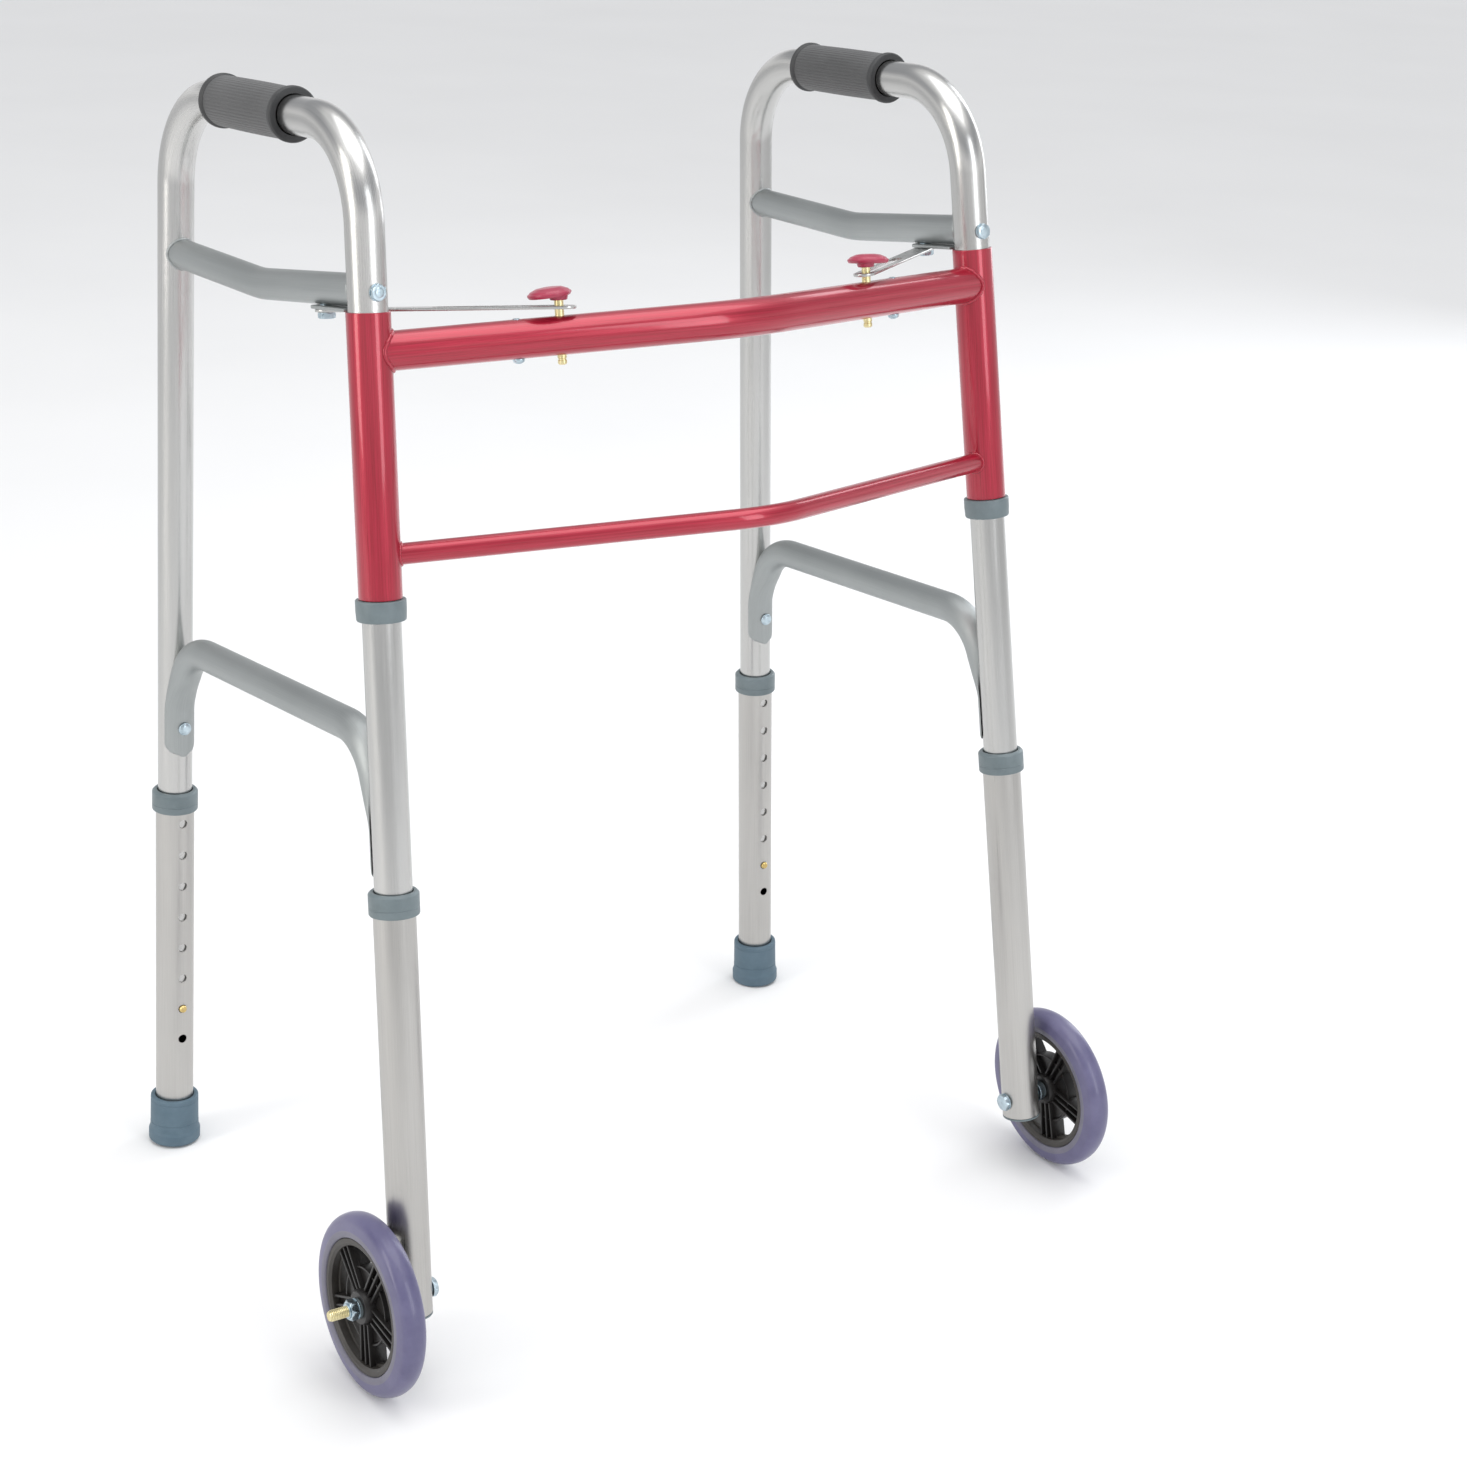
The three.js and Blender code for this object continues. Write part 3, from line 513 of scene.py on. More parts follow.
def gloss_paint(name, dark, middle, light):
    """Gloss coat over metal: deeper and lighter streaks along the tube, slight orange peel."""
    material, tree, shader = new_material(name)
    shader.inputs["Metallic"].default_value = 0.45
    shader.inputs["Coat Weight"].default_value = 0.8
    shader.inputs["Coat Roughness"].default_value = 0.09
    lines = noise(tree, coordinates(tree, "UV", (1.0, 0.015, 1.0)), 1.0, 3.0, 0.6)
    colour = ramp(tree, lines, [(0.25, dark), (0.5, middle), (0.8, light)])
    tree.links.new(colour, shader.inputs["Base Color"])
    tree.links.new(spread(tree, lines, 0.27, 0.38), shader.inputs["Roughness"])
    peel = noise(tree, coordinates(tree, "Object", (1.0, 1.0, 1.0)), 420.0, 2.0)
    add_bump(tree, shader, peel, 0.00007, 0.5)
    return material


def moulded(name, dark, light, rough, grain=900.0, depth=0.00008, coat=0.0, sheen=0.0):
    """Moulded plastic or rubber: fine spark-eroded grain, faint flow clouds and worn sheen."""
    material, tree, shader = new_material(name)
    shader.inputs["Coat Weight"].default_value = coat
    shader.inputs["Sheen Weight"].default_value = sheen
    shader.inputs["Specular IOR Level"].default_value = 0.45
    clouds = noise(tree, coordinates(tree, "Object", (1.0, 1.0, 1.0)), 42.0, 5.0, 0.6)
    tree.links.new(ramp(tree, clouds, [(0.3, dark), (0.72, light)]), shader.inputs["Base Color"])
    tree.links.new(spread(tree, clouds, rough[0], rough[1]), shader.inputs["Roughness"])
    fine = noise(tree, coordinates(tree, "Object", (1.0, 1.0, 1.0)), grain, 2.0, 0.6)
    add_bump(tree, shader, fine, depth, 0.7)
    return material


ANODISED = drawn_metal("anodised", (0.44, 0.44, 0.43), (0.61, 0.605, 0.595), (0.2, 0.3))
LEG_ANODISED = drawn_metal("leg_anodised", (0.415, 0.405, 0.39), (0.55, 0.54, 0.52), (0.26, 0.38), 1.0, 1.0)
# Brace and bracket metal: the anodised tube's metal, made rougher, with its colour darkened as painted
# shade for the dimmer reflections the braces show
SHADED_BRUSHED = drawn_metal("brushed", (0.32, 0.34, 0.34), (0.44, 0.46, 0.46), (0.42, 0.54), 1.5)
CRIMSON = gloss_paint("crimson", (0.27, 0.003, 0.017), (0.37, 0.006, 0.028), (0.46, 0.012, 0.046))
CRIMSON_CAP = moulded("crimson_cap", (0.30, 0.018, 0.050), (0.40, 0.035, 0.080), (0.32, 0.42),
                      1100.0, 0.00005, 0.25)
GRIP = moulded("grip", (0.047, 0.048, 0.049), (0.075, 0.076, 0.078), (0.46, 0.62),
               700.0, 0.00016, 0.0, 0.15)
GRIP_FLANGE = moulded("grip_flange", (0.03, 0.031, 0.032), (0.047, 0.048, 0.05), (0.42, 0.55),
                      800.0, 0.0001)
GREY_PLASTIC = moulded("grey_plastic", (0.125, 0.160, 0.172), (0.175, 0.215, 0.230), (0.36, 0.5))
SLATE_RUBBER = moulded("slate_rubber", (0.075, 0.125, 0.165), (0.115, 0.175, 0.220), (0.5, 0.66),
                       650.0, 0.00012)
TYRE = moulded("tyre", (0.088, 0.082, 0.170), (0.132, 0.124, 0.225), (0.28, 0.42), 500.0, 0.00008, 0.2)
TYRE_SIDE = moulded("tyre_side", (0.130, 0.126, 0.170), (0.178, 0.172, 0.220), (0.38, 0.5), 600.0, 0.00009)
BLACK_PLASTIC = moulded("black_plastic", (0.008, 0.007, 0.007), (0.017, 0.015, 0.014), (0.3, 0.44))
RIM_PLASTIC = moulded("rim_plastic", (0.030, 0.027, 0.024), (0.052, 0.047, 0.042), (0.36, 0.5))
ZINC = plated("zinc", (0.33, 0.42, 0.47), (0.58, 0.68, 0.74), (0.22, 0.38))
YELLOW_ZINC = plated("yellow_zinc", (0.66, 0.56, 0.28), (0.86, 0.78, 0.48), (0.25, 0.4))
BRASS = plated("brass", (0.52, 0.38, 0.14), (0.72, 0.56, 0.26), (0.22, 0.36))


# ---------------------------------------------------------------- pieces

def make(name, shape, place, materials, body, nodes, crease=32.0):
    """One visible piece, placed in the row frame, which rides on body and stands for nodes."""
    mesh = bpy.data.meshes.new(name)
    mirrored = place.to_3x3().determinant() < 0
    faces = [face[::-1] for face in shape.faces] if mirrored else shape.faces
    mesh.from_pydata([tuple(place @ v) for v in shape.verts], [], faces)
    layer = mesh.uv_layers.new(name="UVMap")
    loop = 0
    for uvs in shape.uvs:
        for uv in (uvs[::-1] if mirrored else uvs):
            layer.data[loop].uv = uv
            loop += 1
    materials = materials if isinstance(materials, (list, tuple)) else [materials]
    for material in materials:
        mesh.materials.append(material)
    mesh.polygons.foreach_set("material_index", shape.mats)
    mesh.polygons.foreach_set("use_smooth", [True] * len(shape.faces))
    mesh.set_sharp_from_angle(angle=math.radians(crease))
    mesh.update()
    piece = bpy.data.objects.new(name, mesh)
    bpy.context.scene.collection.objects.link(piece)
    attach(piece, body)
    if nodes:
        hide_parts(*nodes)
    return piece


def cut_holes(piece, shape, place):
    """Cuts a shape of round plugs out of a piece and keeps the result as the piece's mesh."""
    mesh = bpy.data.meshes.new("plugs")
    mirrored = place.to_3x3().determinant() < 0
    faces = [face[::-1] for face in shape.faces] if mirrored else shape.faces
    mesh.from_pydata([tuple(place @ v) for v in shape.verts], [], faces)
    plugs = bpy.data.objects.new("plugs", mesh)
    bpy.context.scene.collection.objects.link(plugs)
    modifier = piece.modifiers.new("holes", "BOOLEAN")
    modifier.operation, modifier.solver, modifier.object = "DIFFERENCE", "EXACT", plugs
    bpy.context.view_layer.update()
    evaluated = piece.evaluated_get(bpy.context.evaluated_depsgraph_get())
    result = bpy.data.meshes.new_from_object(evaluated)
    piece.modifiers.remove(modifier)
    piece.data = result
    result.set_sharp_from_angle(angle=math.radians(32.0))
    bpy.data.objects.remove(plugs)


def crossbar(name, bar_size, sleeves):
    """A bowed bar whose ends are coped and welded on the two sleeves."""
    reach = HALF_WIDTH + bar_size["drop"] * math.tan(SIDE_TILT)
    middle = Vector((0.0, -bar_size["forward"], bar_size["rise"] - bar_size["drop"]))
    ends = []
    for mirror in (-1, 1):
        short = 8 / reach
        ends.append(Vector((mirror * (reach - 8), -bar_size["forward"] * short,
                            bar_size["rise"] * short - bar_size["drop"])))
    stations, across = walk([ends[0], middle, ends[1]], [bar_size["bend"]], 30.0)
    radius = bar_size["r"]
    around = 64
    shape = sweep(stations, across, lambda i: circle(radius, around), capped=False)
    welds = []
    for mirror, ring, (point, tangent) in ((-1, 0, stations[0]), (1, len(stations) - 1, stations[-1])):
        outward = tangent * -mirror
        axis_point, axis_dir = sleeves[mirror]
        for corner in range(ring * around, (ring + 1) * around):
            start = shape.verts[corner] - outward * 6
            shape.verts[corner] = reach_cylinder(start, outward, axis_point, axis_dir, SLEEVE_R - 0.7)
        welds.append(weld(point - outward * 6, outward, across, (radius, radius), axis_point, axis_dir,
                          SLEEVE_R, 1.5 if radius > 10 else 1.2))
    make(name + "_shown", together(shape, *welds), CENTRE, CRIMSON, "centre_frame", [name])


def sleeve_axes():
    """Each sleeve's axis seen in the centre frame."""
    found = {}
    inverse = CENTRE.inverted()
    for label, mirror in SIDES.items():
        place = PLACES[label]["side"]
        origin = inverse @ (place @ Vector((0, 0, 0)))
        found[mirror] = (origin, (inverse @ (place @ Vector((0, 0, 100))) - origin).normalized())
    return found


def on_upper_bar(x):
    reach = HALF_WIDTH + UPPER_BAR["drop"] * math.tan(SIDE_TILT)
    inward = 1 - abs(x) / reach
    return Vector((x, -UPPER_BAR["forward"] * inward, UPPER_BAR["rise"] * inward - UPPER_BAR["drop"]))


def centre_frame():
    sleeves = sleeve_axes()
    crossbar("upper_crossbar", UPPER_BAR, sleeves)
    crossbar("lower_crossbar", LOWER_BAR, sleeves)
    for label, mirror in SIDES.items():
        side = PLACES[label]["side"]
        make(f"{label}_sleeve_shown", pipe(SLEEVE_R, SLEEVE_BORE_R, -SLEEVE_LENGTH, 0, 72, 0.5), side,
             CRIMSON, "centre_frame", [f"{label}_sleeve_tube"])
        top = -SLEEVE_LENGTH - 0.3
        collar = lathe([(13.0, top - 14, 0.4), (16.1, top - 14, 1.2), (16.5, top - 7), (16.5, top, 1.0),
                        (13.0, top, 0.4)], 64, closed=True)
        make(f"{label}_sleeve_collar_shown", collar, side, GREY_PLASTIC, "centre_frame",
             [f"{label}_sleeve_collar"])
        release(label, mirror)


def release(label, mirror):
    """Press cap on its pin, and the guide rivet beside it."""
    radius = UPPER_BAR["r"]
    pin = on_upper_bar(mirror * LATCH_PIN_X)
    link_turn = math.atan2(PIVOT_BACK - pin.y, mirror * HALF_WIDTH - pin.x)
    at_pin = CENTRE @ Matrix.Translation(pin)
    disc = lathe([
        (0, 0.6), (7.2, 0.6, 0.4), (8.0, 0.0, 0.3), (13.4, 0.5, 0.6), (14.5, 2.2, 1.0), (14.2, 3.2, 0.8),
        (13.4, 3.5, 0.3), (12.4, 4.6, 1.5), (8.4, 6.3, 3.0), (4.0, 6.8, 2.0), (0, 6.8),
    ], 64)
    disc = disc.moved(turn("Z", link_turn) @ move(CAP_SET_BACK, 0, radius + CAP_LIFT) @ turn("Y", CAP_TILT))
    skirt = lathe([(3.3, radius + 9.8, 0.3), (5.6, radius + 10, 0.6), (6.4, radius + 13.2, 0.5),
                   (3.3, radius + 13.2)], 40, closed=True)
    make(f"{label}_release_cap_shown", together(disc, skirt), at_pin, CRIMSON_CAP, f"{label}_release",
         [f"{label}_release_cap"])
    shank = lathe([(0, -radius - 6), (2.2, -radius - 6, 0.3), (3, -radius - 5.2, 0.3),
                   (3, -radius - 3.2), (2.6, -radius - 2.9), (2.6, -radius - 2.1), (3, -radius - 1.8),
                   (3, radius + CAP_LIFT), (0, radius + CAP_LIFT)], 40)
    make(f"{label}_latch_pin_shown", shank, at_pin, YELLOW_ZINC, f"{label}_release",
         [f"{label}_latch_pin"])
    guide = on_upper_bar(mirror * GUIDE_RIVET_X)
    rivet = lathe([(0, -radius - 3.0), (1.6, -radius - 2.95, 1.0), (3.6, -radius - 1.8, 1.0),
                   (4.0, -radius - 0.4, 0.2), (4.0, -radius + 0.4), (2.4, -radius + 0.4),
                   (2.4, radius + 0.2), (1.6, radius + 0.6, 0.3), (0, radius + 0.6)], 40)
    make(f"{label}_guide_rivet_shown", rivet, CENTRE @ Matrix.Translation(guide), ZINC, "centre_frame",
         [f"{label}_guide_rivet"])


def side_frame(label):
    """The bent tube, its grip and braces, and the small hardware fixed to them."""
    side = PLACES[label]["side"]
    body = f"{label}_side_frame"
    corners = [Vector((0, 0, FRONT_TUBE_END)), FRONT_CORNER, REAR_CORNER, on_rear_leg(REAR_TUBE_END)]
    stations, across = walk(corners, [FRONT_BEND, REAR_BEND], 45.0, math.radians(3))
    make(f"{label}_side_tube_shown", hollow(stations, across, TUBE_R, TUBE_BORE_R), side, ANODISED, body,
         [f"{label}_side_frame_tube"])
    handgrip(label, side, body)
    upper_brace(label, side, body)
    lower_brace(label, side, body)

    bolt = together(hex_head(10, 3, 0.5), bar(2.9, -30, 0.2, 24),
                    lathe([(0, 2.8), (3.6, 2.8), (2.6, 3.5, 1.0), (0, 3.7)], 32))
    at_bolt = side @ move(0, -TUBE_R - 0.1, LEG_BOLT_Z) @ turn("X", math.pi / 2)
    make(f"{label}_leg_bolt_shown", bolt, at_bolt, ZINC, body, [f"{label}_leg_bolt"])

    half_turn = [(10 * math.cos(a), PIVOT_BACK + 10 * math.sin(a))
                 for a in (math.pi * k / 30 for k in range(31))]
    outline = [(-10, 13.2), (10, 13.2)] + half_turn
    bracket = plate(outline, BRACKET_BOTTOM, BRACKET_TOP, 0.35)
    make(f"{label}_fold_bracket_shown", bracket, side, SHADED_BRUSHED, body, [f"{label}_fold_bracket"])

    pivot = together(
        hex_head(10, 4, 0.6).moved(turn("X", math.pi)).moved(move(0, 0, -3.1)),
        bar(3, -3.3, BRACKET_TOP, 32),
        lathe([(0, 1.5), (4.4, 1.5), (4.0, 2.3, 0.6), (2.0, 3.0, 1.0), (0, 3.1)], 32),
    )
    make(f"{label}_pivot_bolt_shown", pivot, side @ move(0, PIVOT_BACK, 0), ZINC, body,
         [f"{label}_link_pivot_bolt"])


def handgrip(label, side, body):
    """Moulded grip: fluted barrel between two darker flanges."""
    half, bore = 52.0, 13.2

    def flutes(angle, radius, height):
        if radius < 16.4 or abs(height) > half - 6.5:
            return radius
        fade = min(1.0, (half - 6.5 - abs(height)) / 2.5)
        return radius - 0.28 * fade * (0.5 - 0.5 * math.cos(angle * 48)) ** 2

    heights = (-46.5, -45, -42, -30, -15, 0, 15, 30, 42, 45, 46.5)
    crown = [(17.0 - 0.35 * (h / 47.0) ** 2 + 0.25, h) for h in heights]
    barrel = [(bore, -half + 5)] + crown + [(bore, half - 5)]
    grip = lathe(barrel, 384, closed=True, ripple=flutes)
    flanges = []
    for way in (-1, 1):
        ring = lathe([(bore, 0, 0.3), (17.3, 0, 0.9), (18.2, 1.2, 0.8), (18.2, 3.6, 0.8), (17.2, 4.9, 0.5),
                      (16.8, 5.4), (bore, 5.4)], 96, closed=True)
        base = move(0, 0, -half) if way < 0 else move(0, 0, half) @ turn("X", math.pi)
        flanges.append(ring.moved(base).paint(1))
    centre = FRONT_CORNER + (REAR_CORNER - FRONT_CORNER).normalized() * 139.5
    place = side @ Matrix.Translation(centre) @ turn("X", GRIP_RISE) @ ALONG_Y
    make(f"{label}_handgrip_shown", together(grip, *flanges), place, [GRIP, GRIP_FLANGE], body,
         [f"{label}_handgrip"], 60.0)


def upper_brace(label, side, body):
    corners = [Vector((0, 4, 13)), Vector((0, 145, 11.3)), Vector((0, 273, 27.5))]
    stations, across = walk(corners, [120.0], 30.0)
    oval = [(10.0 * x, 10.5 * y) for x, y in circle(1.0, 64)]
    brace = sweep(stations, across, lambda i: oval)
    front_weld = weld(stations[0][0], stations[0][1], across, (10.0, 10.5), Vector((0, 0, 0)),
                      Vector((0, 0, 1)), TUBE_R, 1.1)
    rear_weld = weld(stations[-1][0], -stations[-1][1], across, (10.0, 10.5), REAR_CORNER, REAR_DOWN,
                     TUBE_R, 1.1)
    make(f"{label}_upper_brace_shown", together(brace, front_weld, rear_weld), side, SHADED_BRUSHED, body,
         [f"{label}_upper_side_brace"])


def lower_brace(label, side, body):
    """A round tube bent down at both ends, where it is pressed flat and curved round the leg."""
    offset, rivet_up, hug = 15.0, 22.0, 13.1
    front_top, rear_top = Vector((0, offset, BRACE_FRONT_TOP)), on_rear_leg(BRACE_REAR_TOP, offset)
    front_end, rear_end = Vector((0, offset, BRACE_FRONT_END)), on_rear_leg(BRACE_REAR_END, offset)
    stations, across = walk([front_end, front_top, rear_top, rear_end], [42.0, 42.0], 3.0)
    run = [0.0]
    for (a, _), (b, _) in zip(stations, stations[1:]):
        run.append(run[-1] + (b - a).length)

    def section(index):
        from_end = min(run[index], run[-1] - run[index])
        flat = 1.0 - min(max((from_end - 34.0) / 34.0, 0.0), 1.0)
        flat = flat * flat * (3 - 2 * flat)
        width = 11.1 + 0.7 * flat
        if from_end < 9.0:
            width *= math.sqrt(max(1 - (1 - from_end / 9.0) ** 2, 0.02))
        height = 11.1 * (1 - flat) + 1.6 * flat
        near_front = run[index] < run[-1] / 2
        points = []
        for x, y in circle(1.0, 56):
            power = 1.0 - 0.35 * flat
            px = width * math.copysign(abs(x) ** power, x)
            py = height * math.copysign(abs(y) ** power, y)
            wrap = flat * (0.45 + hug - math.sqrt(max(hug ** 2 - px * px, 1.0)))
            points.append((px, py + wrap * outer_sign(index, near_front)))
        return points

    def outer_sign(index, near_front):
        """Which way the leg lies from the strap along the section's second direction."""
        _, tangent = stations[index]
        to_leg = Vector((0, -1, 0)) if near_front else -REAR_FORWARD
        return 1.0 if tangent.cross(across).dot(to_leg) > 0 else -1.0

    brace = sweep(stations, across, section)
    make(f"{label}_lower_brace_shown", brace, side, SHADED_BRUSHED, body, [f"{label}_lower_side_brace"])

    dome = lathe([(0, -9), (2.4, -9), (2.4, 0), (5.0, 0, 0.2), (4.7, 1.2, 1.0), (2.8, 2.4, 1.4),
                  (0, 2.7)], 40)
    seat = offset + 1.5
    rear = PLACES[label]["rear"]
    for name, place in (
        ("front", side @ move(0, seat, BRACE_FRONT_END + rivet_up) @ ALONG_Y),
        ("rear", rear @ move(0, -seat, rivet_up - BRACE_REAR_END) @ turn("X", math.pi / 2)),
    ):
        make(f"{label}_brace_{name}_rivet_shown", dome, place, ZINC, body,
             [f"{label}_lower_brace_{name}_rivet"])


def latch_link(label, mirror):
    """Slotted strip from the fold bracket to the latch pin."""
    side = PLACES[label]["side"]
    pin = side.inverted() @ (CENTRE @ (on_upper_bar(mirror * LATCH_PIN_X) + Vector((0, 0, UPPER_BAR["r"]))))
    angle = math.atan2(pin.y - PIVOT_BACK, pin.x)
    count = 32

    def half_turn(x, radius, start):
        """Half a circle round (x, 0); start is its first angle, in half turns."""
        return [(x + radius * math.cos(a), radius * math.sin(a))
                for a in (math.pi * (k / (count - 1) + start) for k in range(count))]

    slot_r = SLOT_WIDTH / 2
    ends = half_turn(SLOT_TO, LINK_HALF_WIDTH, -0.5) + half_turn(0.0, LINK_HALF_WIDTH, 0.5)
    slot = half_turn(SLOT_TO - slot_r, slot_r, -0.5) + half_turn(SLOT_FROM + slot_r, slot_r, 0.5)
    strip = plate(ends, LINK_BOTTOM, LINK_TOP, 0.35, [slot])
    place = side @ move(0, PIVOT_BACK, 0) @ turn("Z", angle)
    make(f"{label}_latch_link_shown", strip, place, ANODISED, f"{label}_latch_link_body",
         [f"{label}_latch_link"])


def leg_collar():
    return lathe([(14.7, -8, 0.3), (16.6, -8, 0.6), (17.0, -7.2, 0.5), (17.0, -3.2), (16.75, -2.9),
                  (16.75, -2.3), (17.0, -2.0), (17.0, 6.4, 1.2), (15.4, 8, 0.6), (13.3, 8, 0.4),
                  (13.3, 5.6), (14.7, 5.6)], 72, closed=True)


def hole_plugs(start):
    """Round plugs along +Y for the row of height holes below a collar."""
    return [bar(HOLE_R, 8, 20, 28, 0).moved(move(0, 0, start - FIRST_HOLE - k * HOLE_PITCH) @ ALONG_Y)
            for k in range(HOLE_COUNT)]


def snap_button():
    """Button along +z: base inside the tube, and a domed pin out through both walls."""
    return lathe([(0, 7.6), (5.2, 7.6, 0.3), (5.2, 10.1, 0.3), (3.0, 10.1), (3.0, 15.2, 1.0),
                  (2.2, 16.5, 0.8), (0, 16.9)], 40)


def front_leg(label):
    side = PLACES[label]["side"]
    body = f"{label}_front_leg"
    tube = pipe(SLEEVE_R, SLEEVE_BORE_R, FRONT_LEG_END, FRONT_COLLAR + 5.3, 72, 0.3)
    piece = make(f"{label}_front_leg_tube_shown", tube, side, LEG_ANODISED, body,
                 [f"{label}_front_leg_tube"])
    axle = bar(4.4, -20, 20, 32, 0).moved(move(0, 0, AXLE_Z) @ ALONG_X)
    cut_holes(piece, together(*hole_plugs(FRONT_COLLAR), axle), side)
    make(f"{label}_front_collar_shown", leg_collar(), side @ move(0, 0, FRONT_COLLAR), GREY_PLASTIC, body,
         [f"{label}_front_leg_collar"])
    plug = lathe([(0, -2.5), (12.6, -2.5, 0.8), (14.3, -1.6, 0.5), (14.3, -0.3), (12.8, -0.3),
                  (12.8, 8, 0.6), (0, 8)], 64)
    make(f"{label}_front_plug_shown", plug, side @ move(0, 0, FRONT_LEG_END), GREY_PLASTIC, body,
         [f"{label}_front_leg_end_plug"])
    make(f"{label}_front_button_shown", snap_button(), side @ move(0, 0, FRONT_BUTTON) @ ALONG_Y, BRASS,
         f"{label}_front_button", [f"{label}_front_snap_button"])
    wheel(label, side @ move(WHEEL_OUT, 0, AXLE_Z) @ ALONG_X)


def rear_leg(label):
    rear = PLACES[label]["rear"]
    body = f"{label}_rear_leg"
    bottom = REAR_TIP_END + TIP_HEIGHT - TIP_BORE_DEPTH + 0.3
    tube = pipe(SLEEVE_R, SLEEVE_BORE_R, bottom, REAR_COLLAR + 5.3, 72, 0.3)
    piece = make(f"{label}_rear_leg_tube_shown", tube, rear, LEG_ANODISED, body,
                 [f"{label}_rear_leg_tube"])
    cut_holes(piece, together(*hole_plugs(REAR_COLLAR)).moved(turn("Z", math.pi)), rear)
    make(f"{label}_rear_collar_shown", leg_collar(), rear @ move(0, 0, REAR_COLLAR), GREY_PLASTIC, body,
         [f"{label}_rear_leg_collar"])
    tread = [(0, 1.0), (3.4, 1.0), (3.8, 0.1), (6.2, 0.1), (6.6, 1.0), (8.2, 1.0), (8.6, 0.1), (11.0, 0.1),
             (11.4, 1.0), (13.0, 1.0), (13.4, 0.0), (18.4, 0.0, 1.0)]
    wall = [(19.7, 1.5, 0.6), (19.7, 8.6, 0.8), (18.9, 10.4, 0.8), (18.5, 13.0), (18.5, 15.6), (18.1, 16.0),
            (18.1, 16.8), (18.4, 17.2), (18.3, 33.4), (18.0, 33.8), (18.0, 34.4), (18.3, 34.8),
            (18.2, TIP_HEIGHT, 1.4), (14.8, TIP_HEIGHT, 0.5), (14.8, 8.0), (0, 8.0)]
    make(f"{label}_rubber_tip_shown", lathe(tread + wall, 72), rear @ move(0, 0, REAR_TIP_END),
         SLATE_RUBBER, body, [f"{label}_rear_rubber_tip"])
    outward = move(0, 0, REAR_BUTTON) @ turn("X", math.pi / 2)
    make(f"{label}_rear_button_shown", snap_button(), rear @ outward, BRASS, f"{label}_rear_button",
         [f"{label}_rear_snap_button"])


def wheel(label, hub):
    """Solid tyre on a five-spoked hub, with its axle hardware."""
    body = f"{label}_wheel"
    crown = [(TYRE_R - 6.2 + 6.2 * math.cos(a), 6.6 * math.sin(a) * 1.36)
             for a in (math.pi * (k / 18 - 0.5) for k in range(19))]
    sides = [(RIM_R + 0.2, -9.2), (RIM_R + 1.0, -9.9), (RIM_R + 5.0, -10.0)]
    profile = sides + crown + [(r, -h) for r, h in sides[::-1]]
    tyre = lathe(profile, 128, closed=True)
    pale = RIM_R + 5.5
    for index, face in enumerate(tyre.faces):
        middle = sum((tyre.verts[corner] for corner in face), Vector()) / len(face)
        if middle.xy.length < pale:
            tyre.mats[index] = 1
    make(f"{label}_tyre_shown", tyre, hub, [TYRE, TYRE_SIDE], body, [f"{label}_wheel_tyre"], 50.0)

    rim = lathe([(RIM_INNER, -7.6, 0.6), (RIM_INNER + 2.2, -9.0, 0.6), (RIM_R - 0.4, -9.0, 0.5),
                 (RIM_R, -8.2, 0.4), (RIM_R, 8.2, 0.4), (RIM_R - 0.4, 9.0, 0.5),
                 (RIM_INNER + 2.2, 9.0, 0.6), (RIM_INNER, 7.6, 0.6), (RIM_INNER, 2.4),
                 (RIM_INNER - 1.6, 2.0, 0.4), (RIM_INNER - 1.6, -2.0, 0.4), (RIM_INNER, -2.4)],
                128, closed=True).paint(1)
    boss = lathe([(6.9, -10, 0.4), (11.2, -10, 0.7), (12.6, -7), (12.6, 7), (11.2, 10, 0.7),
                  (6.9, 10, 0.4)], 64, closed=True)
    web = lathe([(11.5, -2.6), (25.2, -2.6, 0.6), (26.2, -4.6, 0.4), (27.4, -4.6, 0.4), (27.4, 4.6, 0.4),
                 (26.2, 4.6, 0.4), (25.2, 2.6, 0.6), (11.5, 2.6)], 96, closed=True)
    parts = [rim, boss, web]
    for index in range(SPOKE_COUNT):
        angle = index / SPOKE_COUNT * 2 * math.pi
        far = RIM_INNER + 1.5
        panel = plate([(24.0, -7.4), (34.0, -6.6), (far, -8.6), (far, 8.6), (34.0, 6.6), (24.0, 7.4)],
                      -2.4, 2.4, 0.3)
        ribs = [plate([(11.0, y0 - 0.9), (far, y1 - 0.9), (far, y1 + 0.9), (11.0, y0 + 0.9)],
                      -6.5, 6.5, 0.4)
                for y0, y1 in ((0.0, 0.0), (-5.0, -6.6), (5.0, 6.6))]
        parts += [part.moved(turn("Z", angle)) for part in (panel, *ribs)]
    make(f"{label}_hub_shown", together(*parts), hub, [BLACK_PLASTIC, RIM_PLASTIC], body,
         [f"{label}_wheel_hub"])
    make(f"{label}_bushing_shown", pipe(6.7, 4.3, -11, 11, 48, 0.4), hub, GREY_PLASTIC, body,
         [f"{label}_wheel_bushing"])

    leg = f"{label}_front_leg"
    leg_face = SLEEVE_R - WHEEL_OUT
    make(f"{label}_spacer_shown", pipe(8.0, 4.3, leg_face + 0.3, -11.3, 48, 0.5), hub, ZINC, leg,
         [f"{label}_axle_spacer"])
    nut = together(hex_head(13, 6.5, 0.8), bar(5.2, 6.4, 7.6, 40, 0.6))
    make(f"{label}_axle_nut_shown", nut, hub @ move(0, 0, 11.3), ZINC, leg, [f"{label}_axle_nut"])
    seat = -WHEEL_OUT - SLEEVE_R - 0.1
    head = hex_head(12, 4.0, 0.6).moved(move(0, 0, seat) @ turn("X", math.pi))
    shank = bar(3.9, seat - 0.2, 17.5, 32)
    tip = threaded_rod(4.0, 17.0, 32.0).paint(1)
    make(f"{label}_axle_bolt_shown", together(head, shank, tip), hub, [ZINC, YELLOW_ZINC], leg,
         [f"{label}_axle_bolt"])


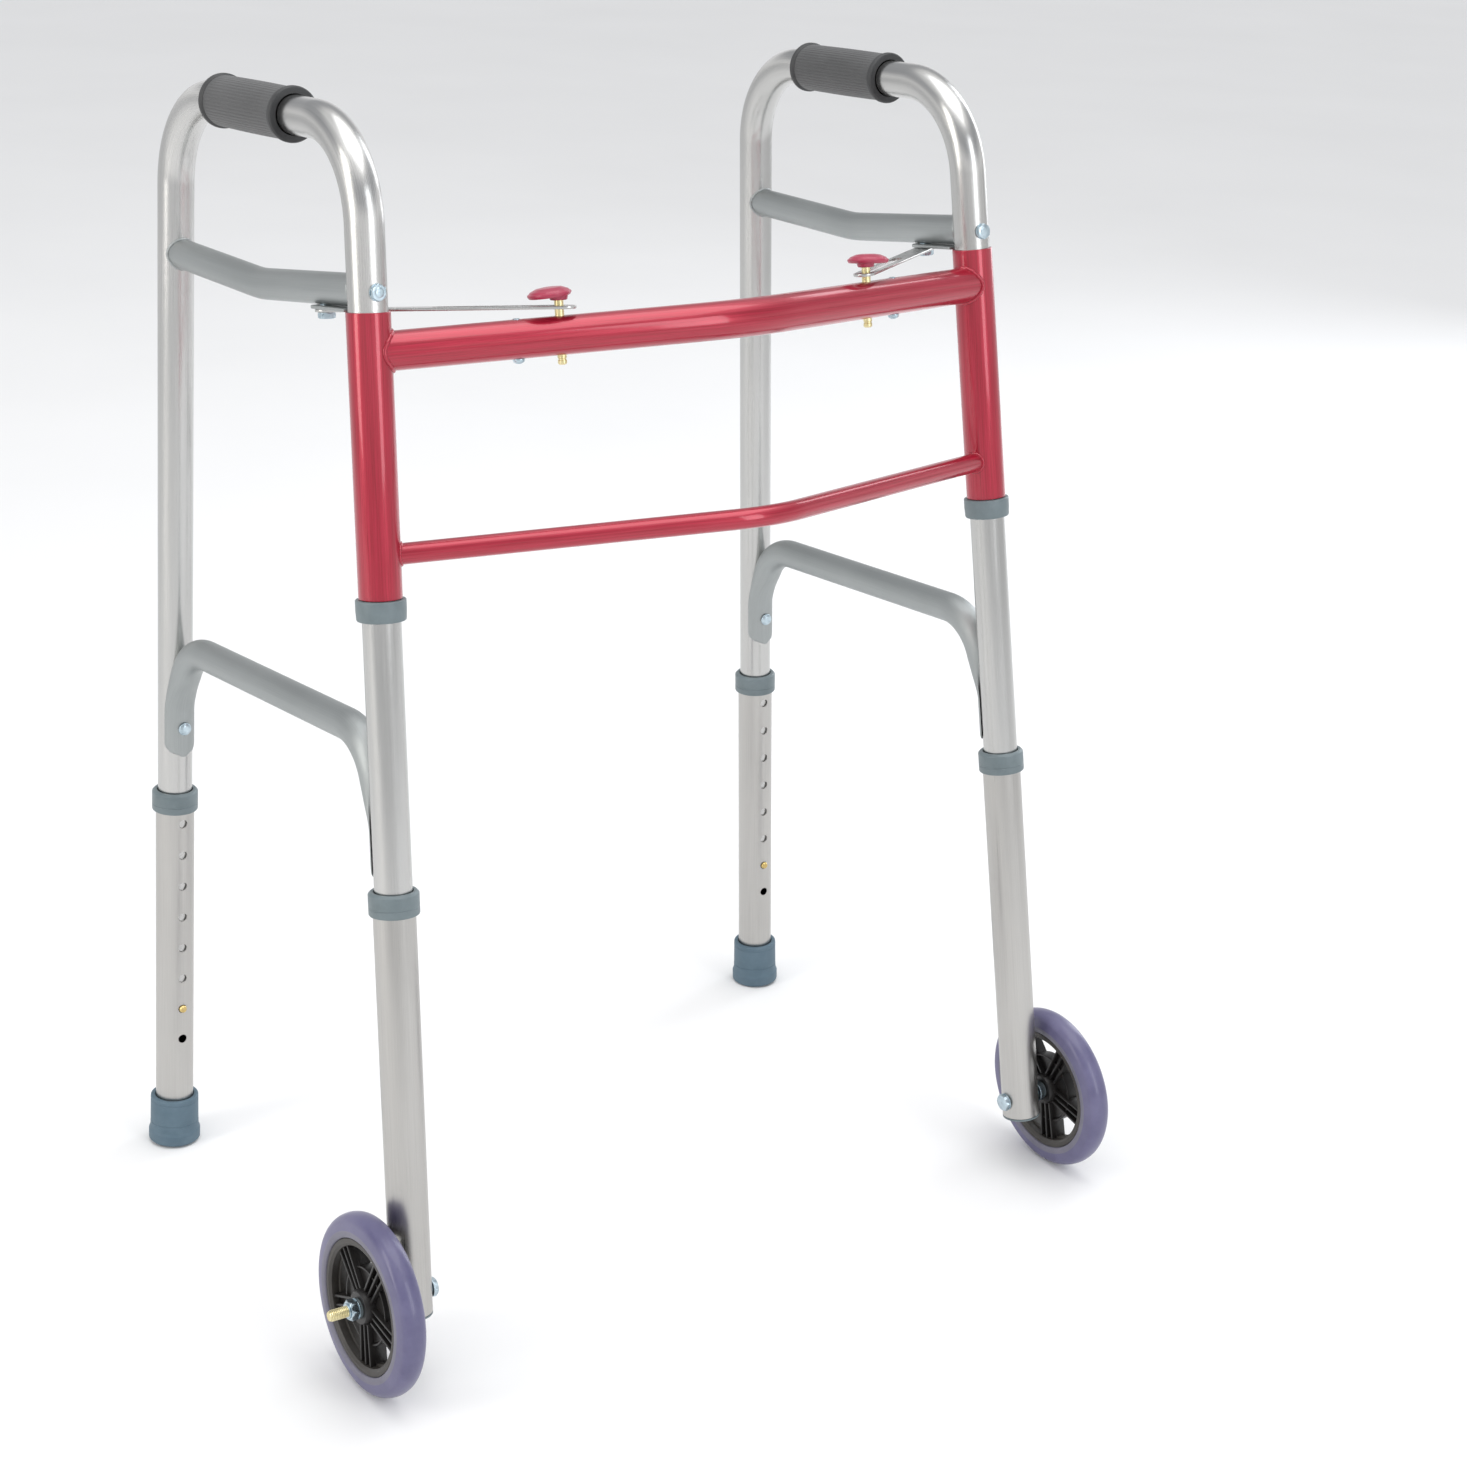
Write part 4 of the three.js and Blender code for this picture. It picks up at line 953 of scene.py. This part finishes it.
# ---------------------------------------------------------------- studio

def studio():
    """Pale floor, soft boxes that draw long highlights down the tubes, and the photograph's camera."""
    mesh = bpy.data.meshes.new("floor")
    far = 60.0
    mesh.from_pydata([(-far, -far, 0), (far, -far, 0), (far, far, 0), (-far, far, 0)], [], [[0, 1, 2, 3]])
    floor = bpy.data.objects.new("floor", mesh)
    bpy.context.scene.collection.objects.link(floor)
    material, tree, shader = new_material("floor")
    clouds = noise(tree, coordinates(tree, "Object", (1.0, 1.0, 1.0)), 2.0, 4.0)
    tree.links.new(ramp(tree, clouds, [(0.2, (0.84, 0.84, 0.84)), (0.8, (0.87, 0.87, 0.87))]),
                   shader.inputs["Base Color"])
    tree.links.new(spread(tree, clouds, 0.75, 0.85), shader.inputs["Roughness"])
    shader.inputs["Specular IOR Level"].default_value = 0.15
    mesh.materials.append(material)

    def soft_box(name, place, target, size, power, colour=(1, 1, 1)):
        data = bpy.data.lights.new(name, "AREA")
        data.shape, data.size, data.size_y, data.energy, data.color = "RECTANGLE", *size, power, colour
        light = bpy.data.objects.new(name, data)
        aim = (Vector(target) - Vector(place)).to_track_quat("-Z", "Y")
        light.matrix_world = Matrix.Translation(place) @ aim.to_matrix().to_4x4()
        bpy.context.scene.collection.objects.link(light)

    soft_box("overhead", (0.2, -0.2, 3.2), (0, 0, 0.3), (2.4, 2.4), 34)
    soft_box("left_box", (-2.9, 0.1, 1.6), (0, 0, 0.45), (0.9, 2.6), 30, (1.0, 0.97, 0.92))
    soft_box("front_box", (0.6, -3.0, 1.7), (0, 0, 0.45), (1.0, 2.4), 26, (0.95, 0.97, 1.0))
    soft_box("right_box", (2.8, 0.9, 1.5), (0, 0, 0.45), (0.8, 2.4), 20, (0.93, 0.96, 1.0))

    world = bpy.data.worlds.new("studio")
    world.use_nodes = True
    tree = world.node_tree
    background = tree.nodes["Background"]
    source = tree.nodes.new("ShaderNodeTexCoord")
    split = tree.nodes.new("ShaderNodeSeparateXYZ")
    tree.links.new(source.outputs["Generated"], split.inputs["Vector"])
    height = spread(tree, split.outputs["Z"], 0.0, 1.0, -0.2, 1.0)
    tree.links.new(
        ramp(tree, height, [(0.0, (0.68, 0.68, 0.685)), (0.17, (0.68, 0.68, 0.685)),
                            (0.3, (0.98, 0.98, 0.985)), (0.52, (0.42, 0.43, 0.45)),
                            (0.72, (0.50, 0.51, 0.53)), (0.82, (1.0, 1.0, 1.0)),
                            (1.0, (0.92, 0.93, 0.95))]),
        background.inputs["Color"],
    )
    background.inputs["Strength"].default_value = 1.1
    bpy.context.scene.world = world
    bpy.context.scene.view_settings.view_transform = "Standard"

    camera_data = bpy.data.cameras.new("camera")
    camera_data.sensor_width = 36.0
    camera_data.lens = 68.08
    camera = bpy.data.objects.new("camera", camera_data)
    yaw, pitch, roll = math.radians(-35.551), math.radians(21.656), math.radians(2.693)
    camera.matrix_world = (
        Matrix.Translation((-1.0403, -1.5908, 1.1189)) @ turn("Z", yaw) @ turn("X", math.pi / 2 - pitch)
        @ turn("Z", roll)
    )
    bpy.context.scene.collection.objects.link(camera)
    bpy.context.scene.camera = camera


centre_frame()
for label, mirror in SIDES.items():
    side_frame(label)
    latch_link(label, mirror)
    front_leg(label)
    rear_leg(label)
studio()
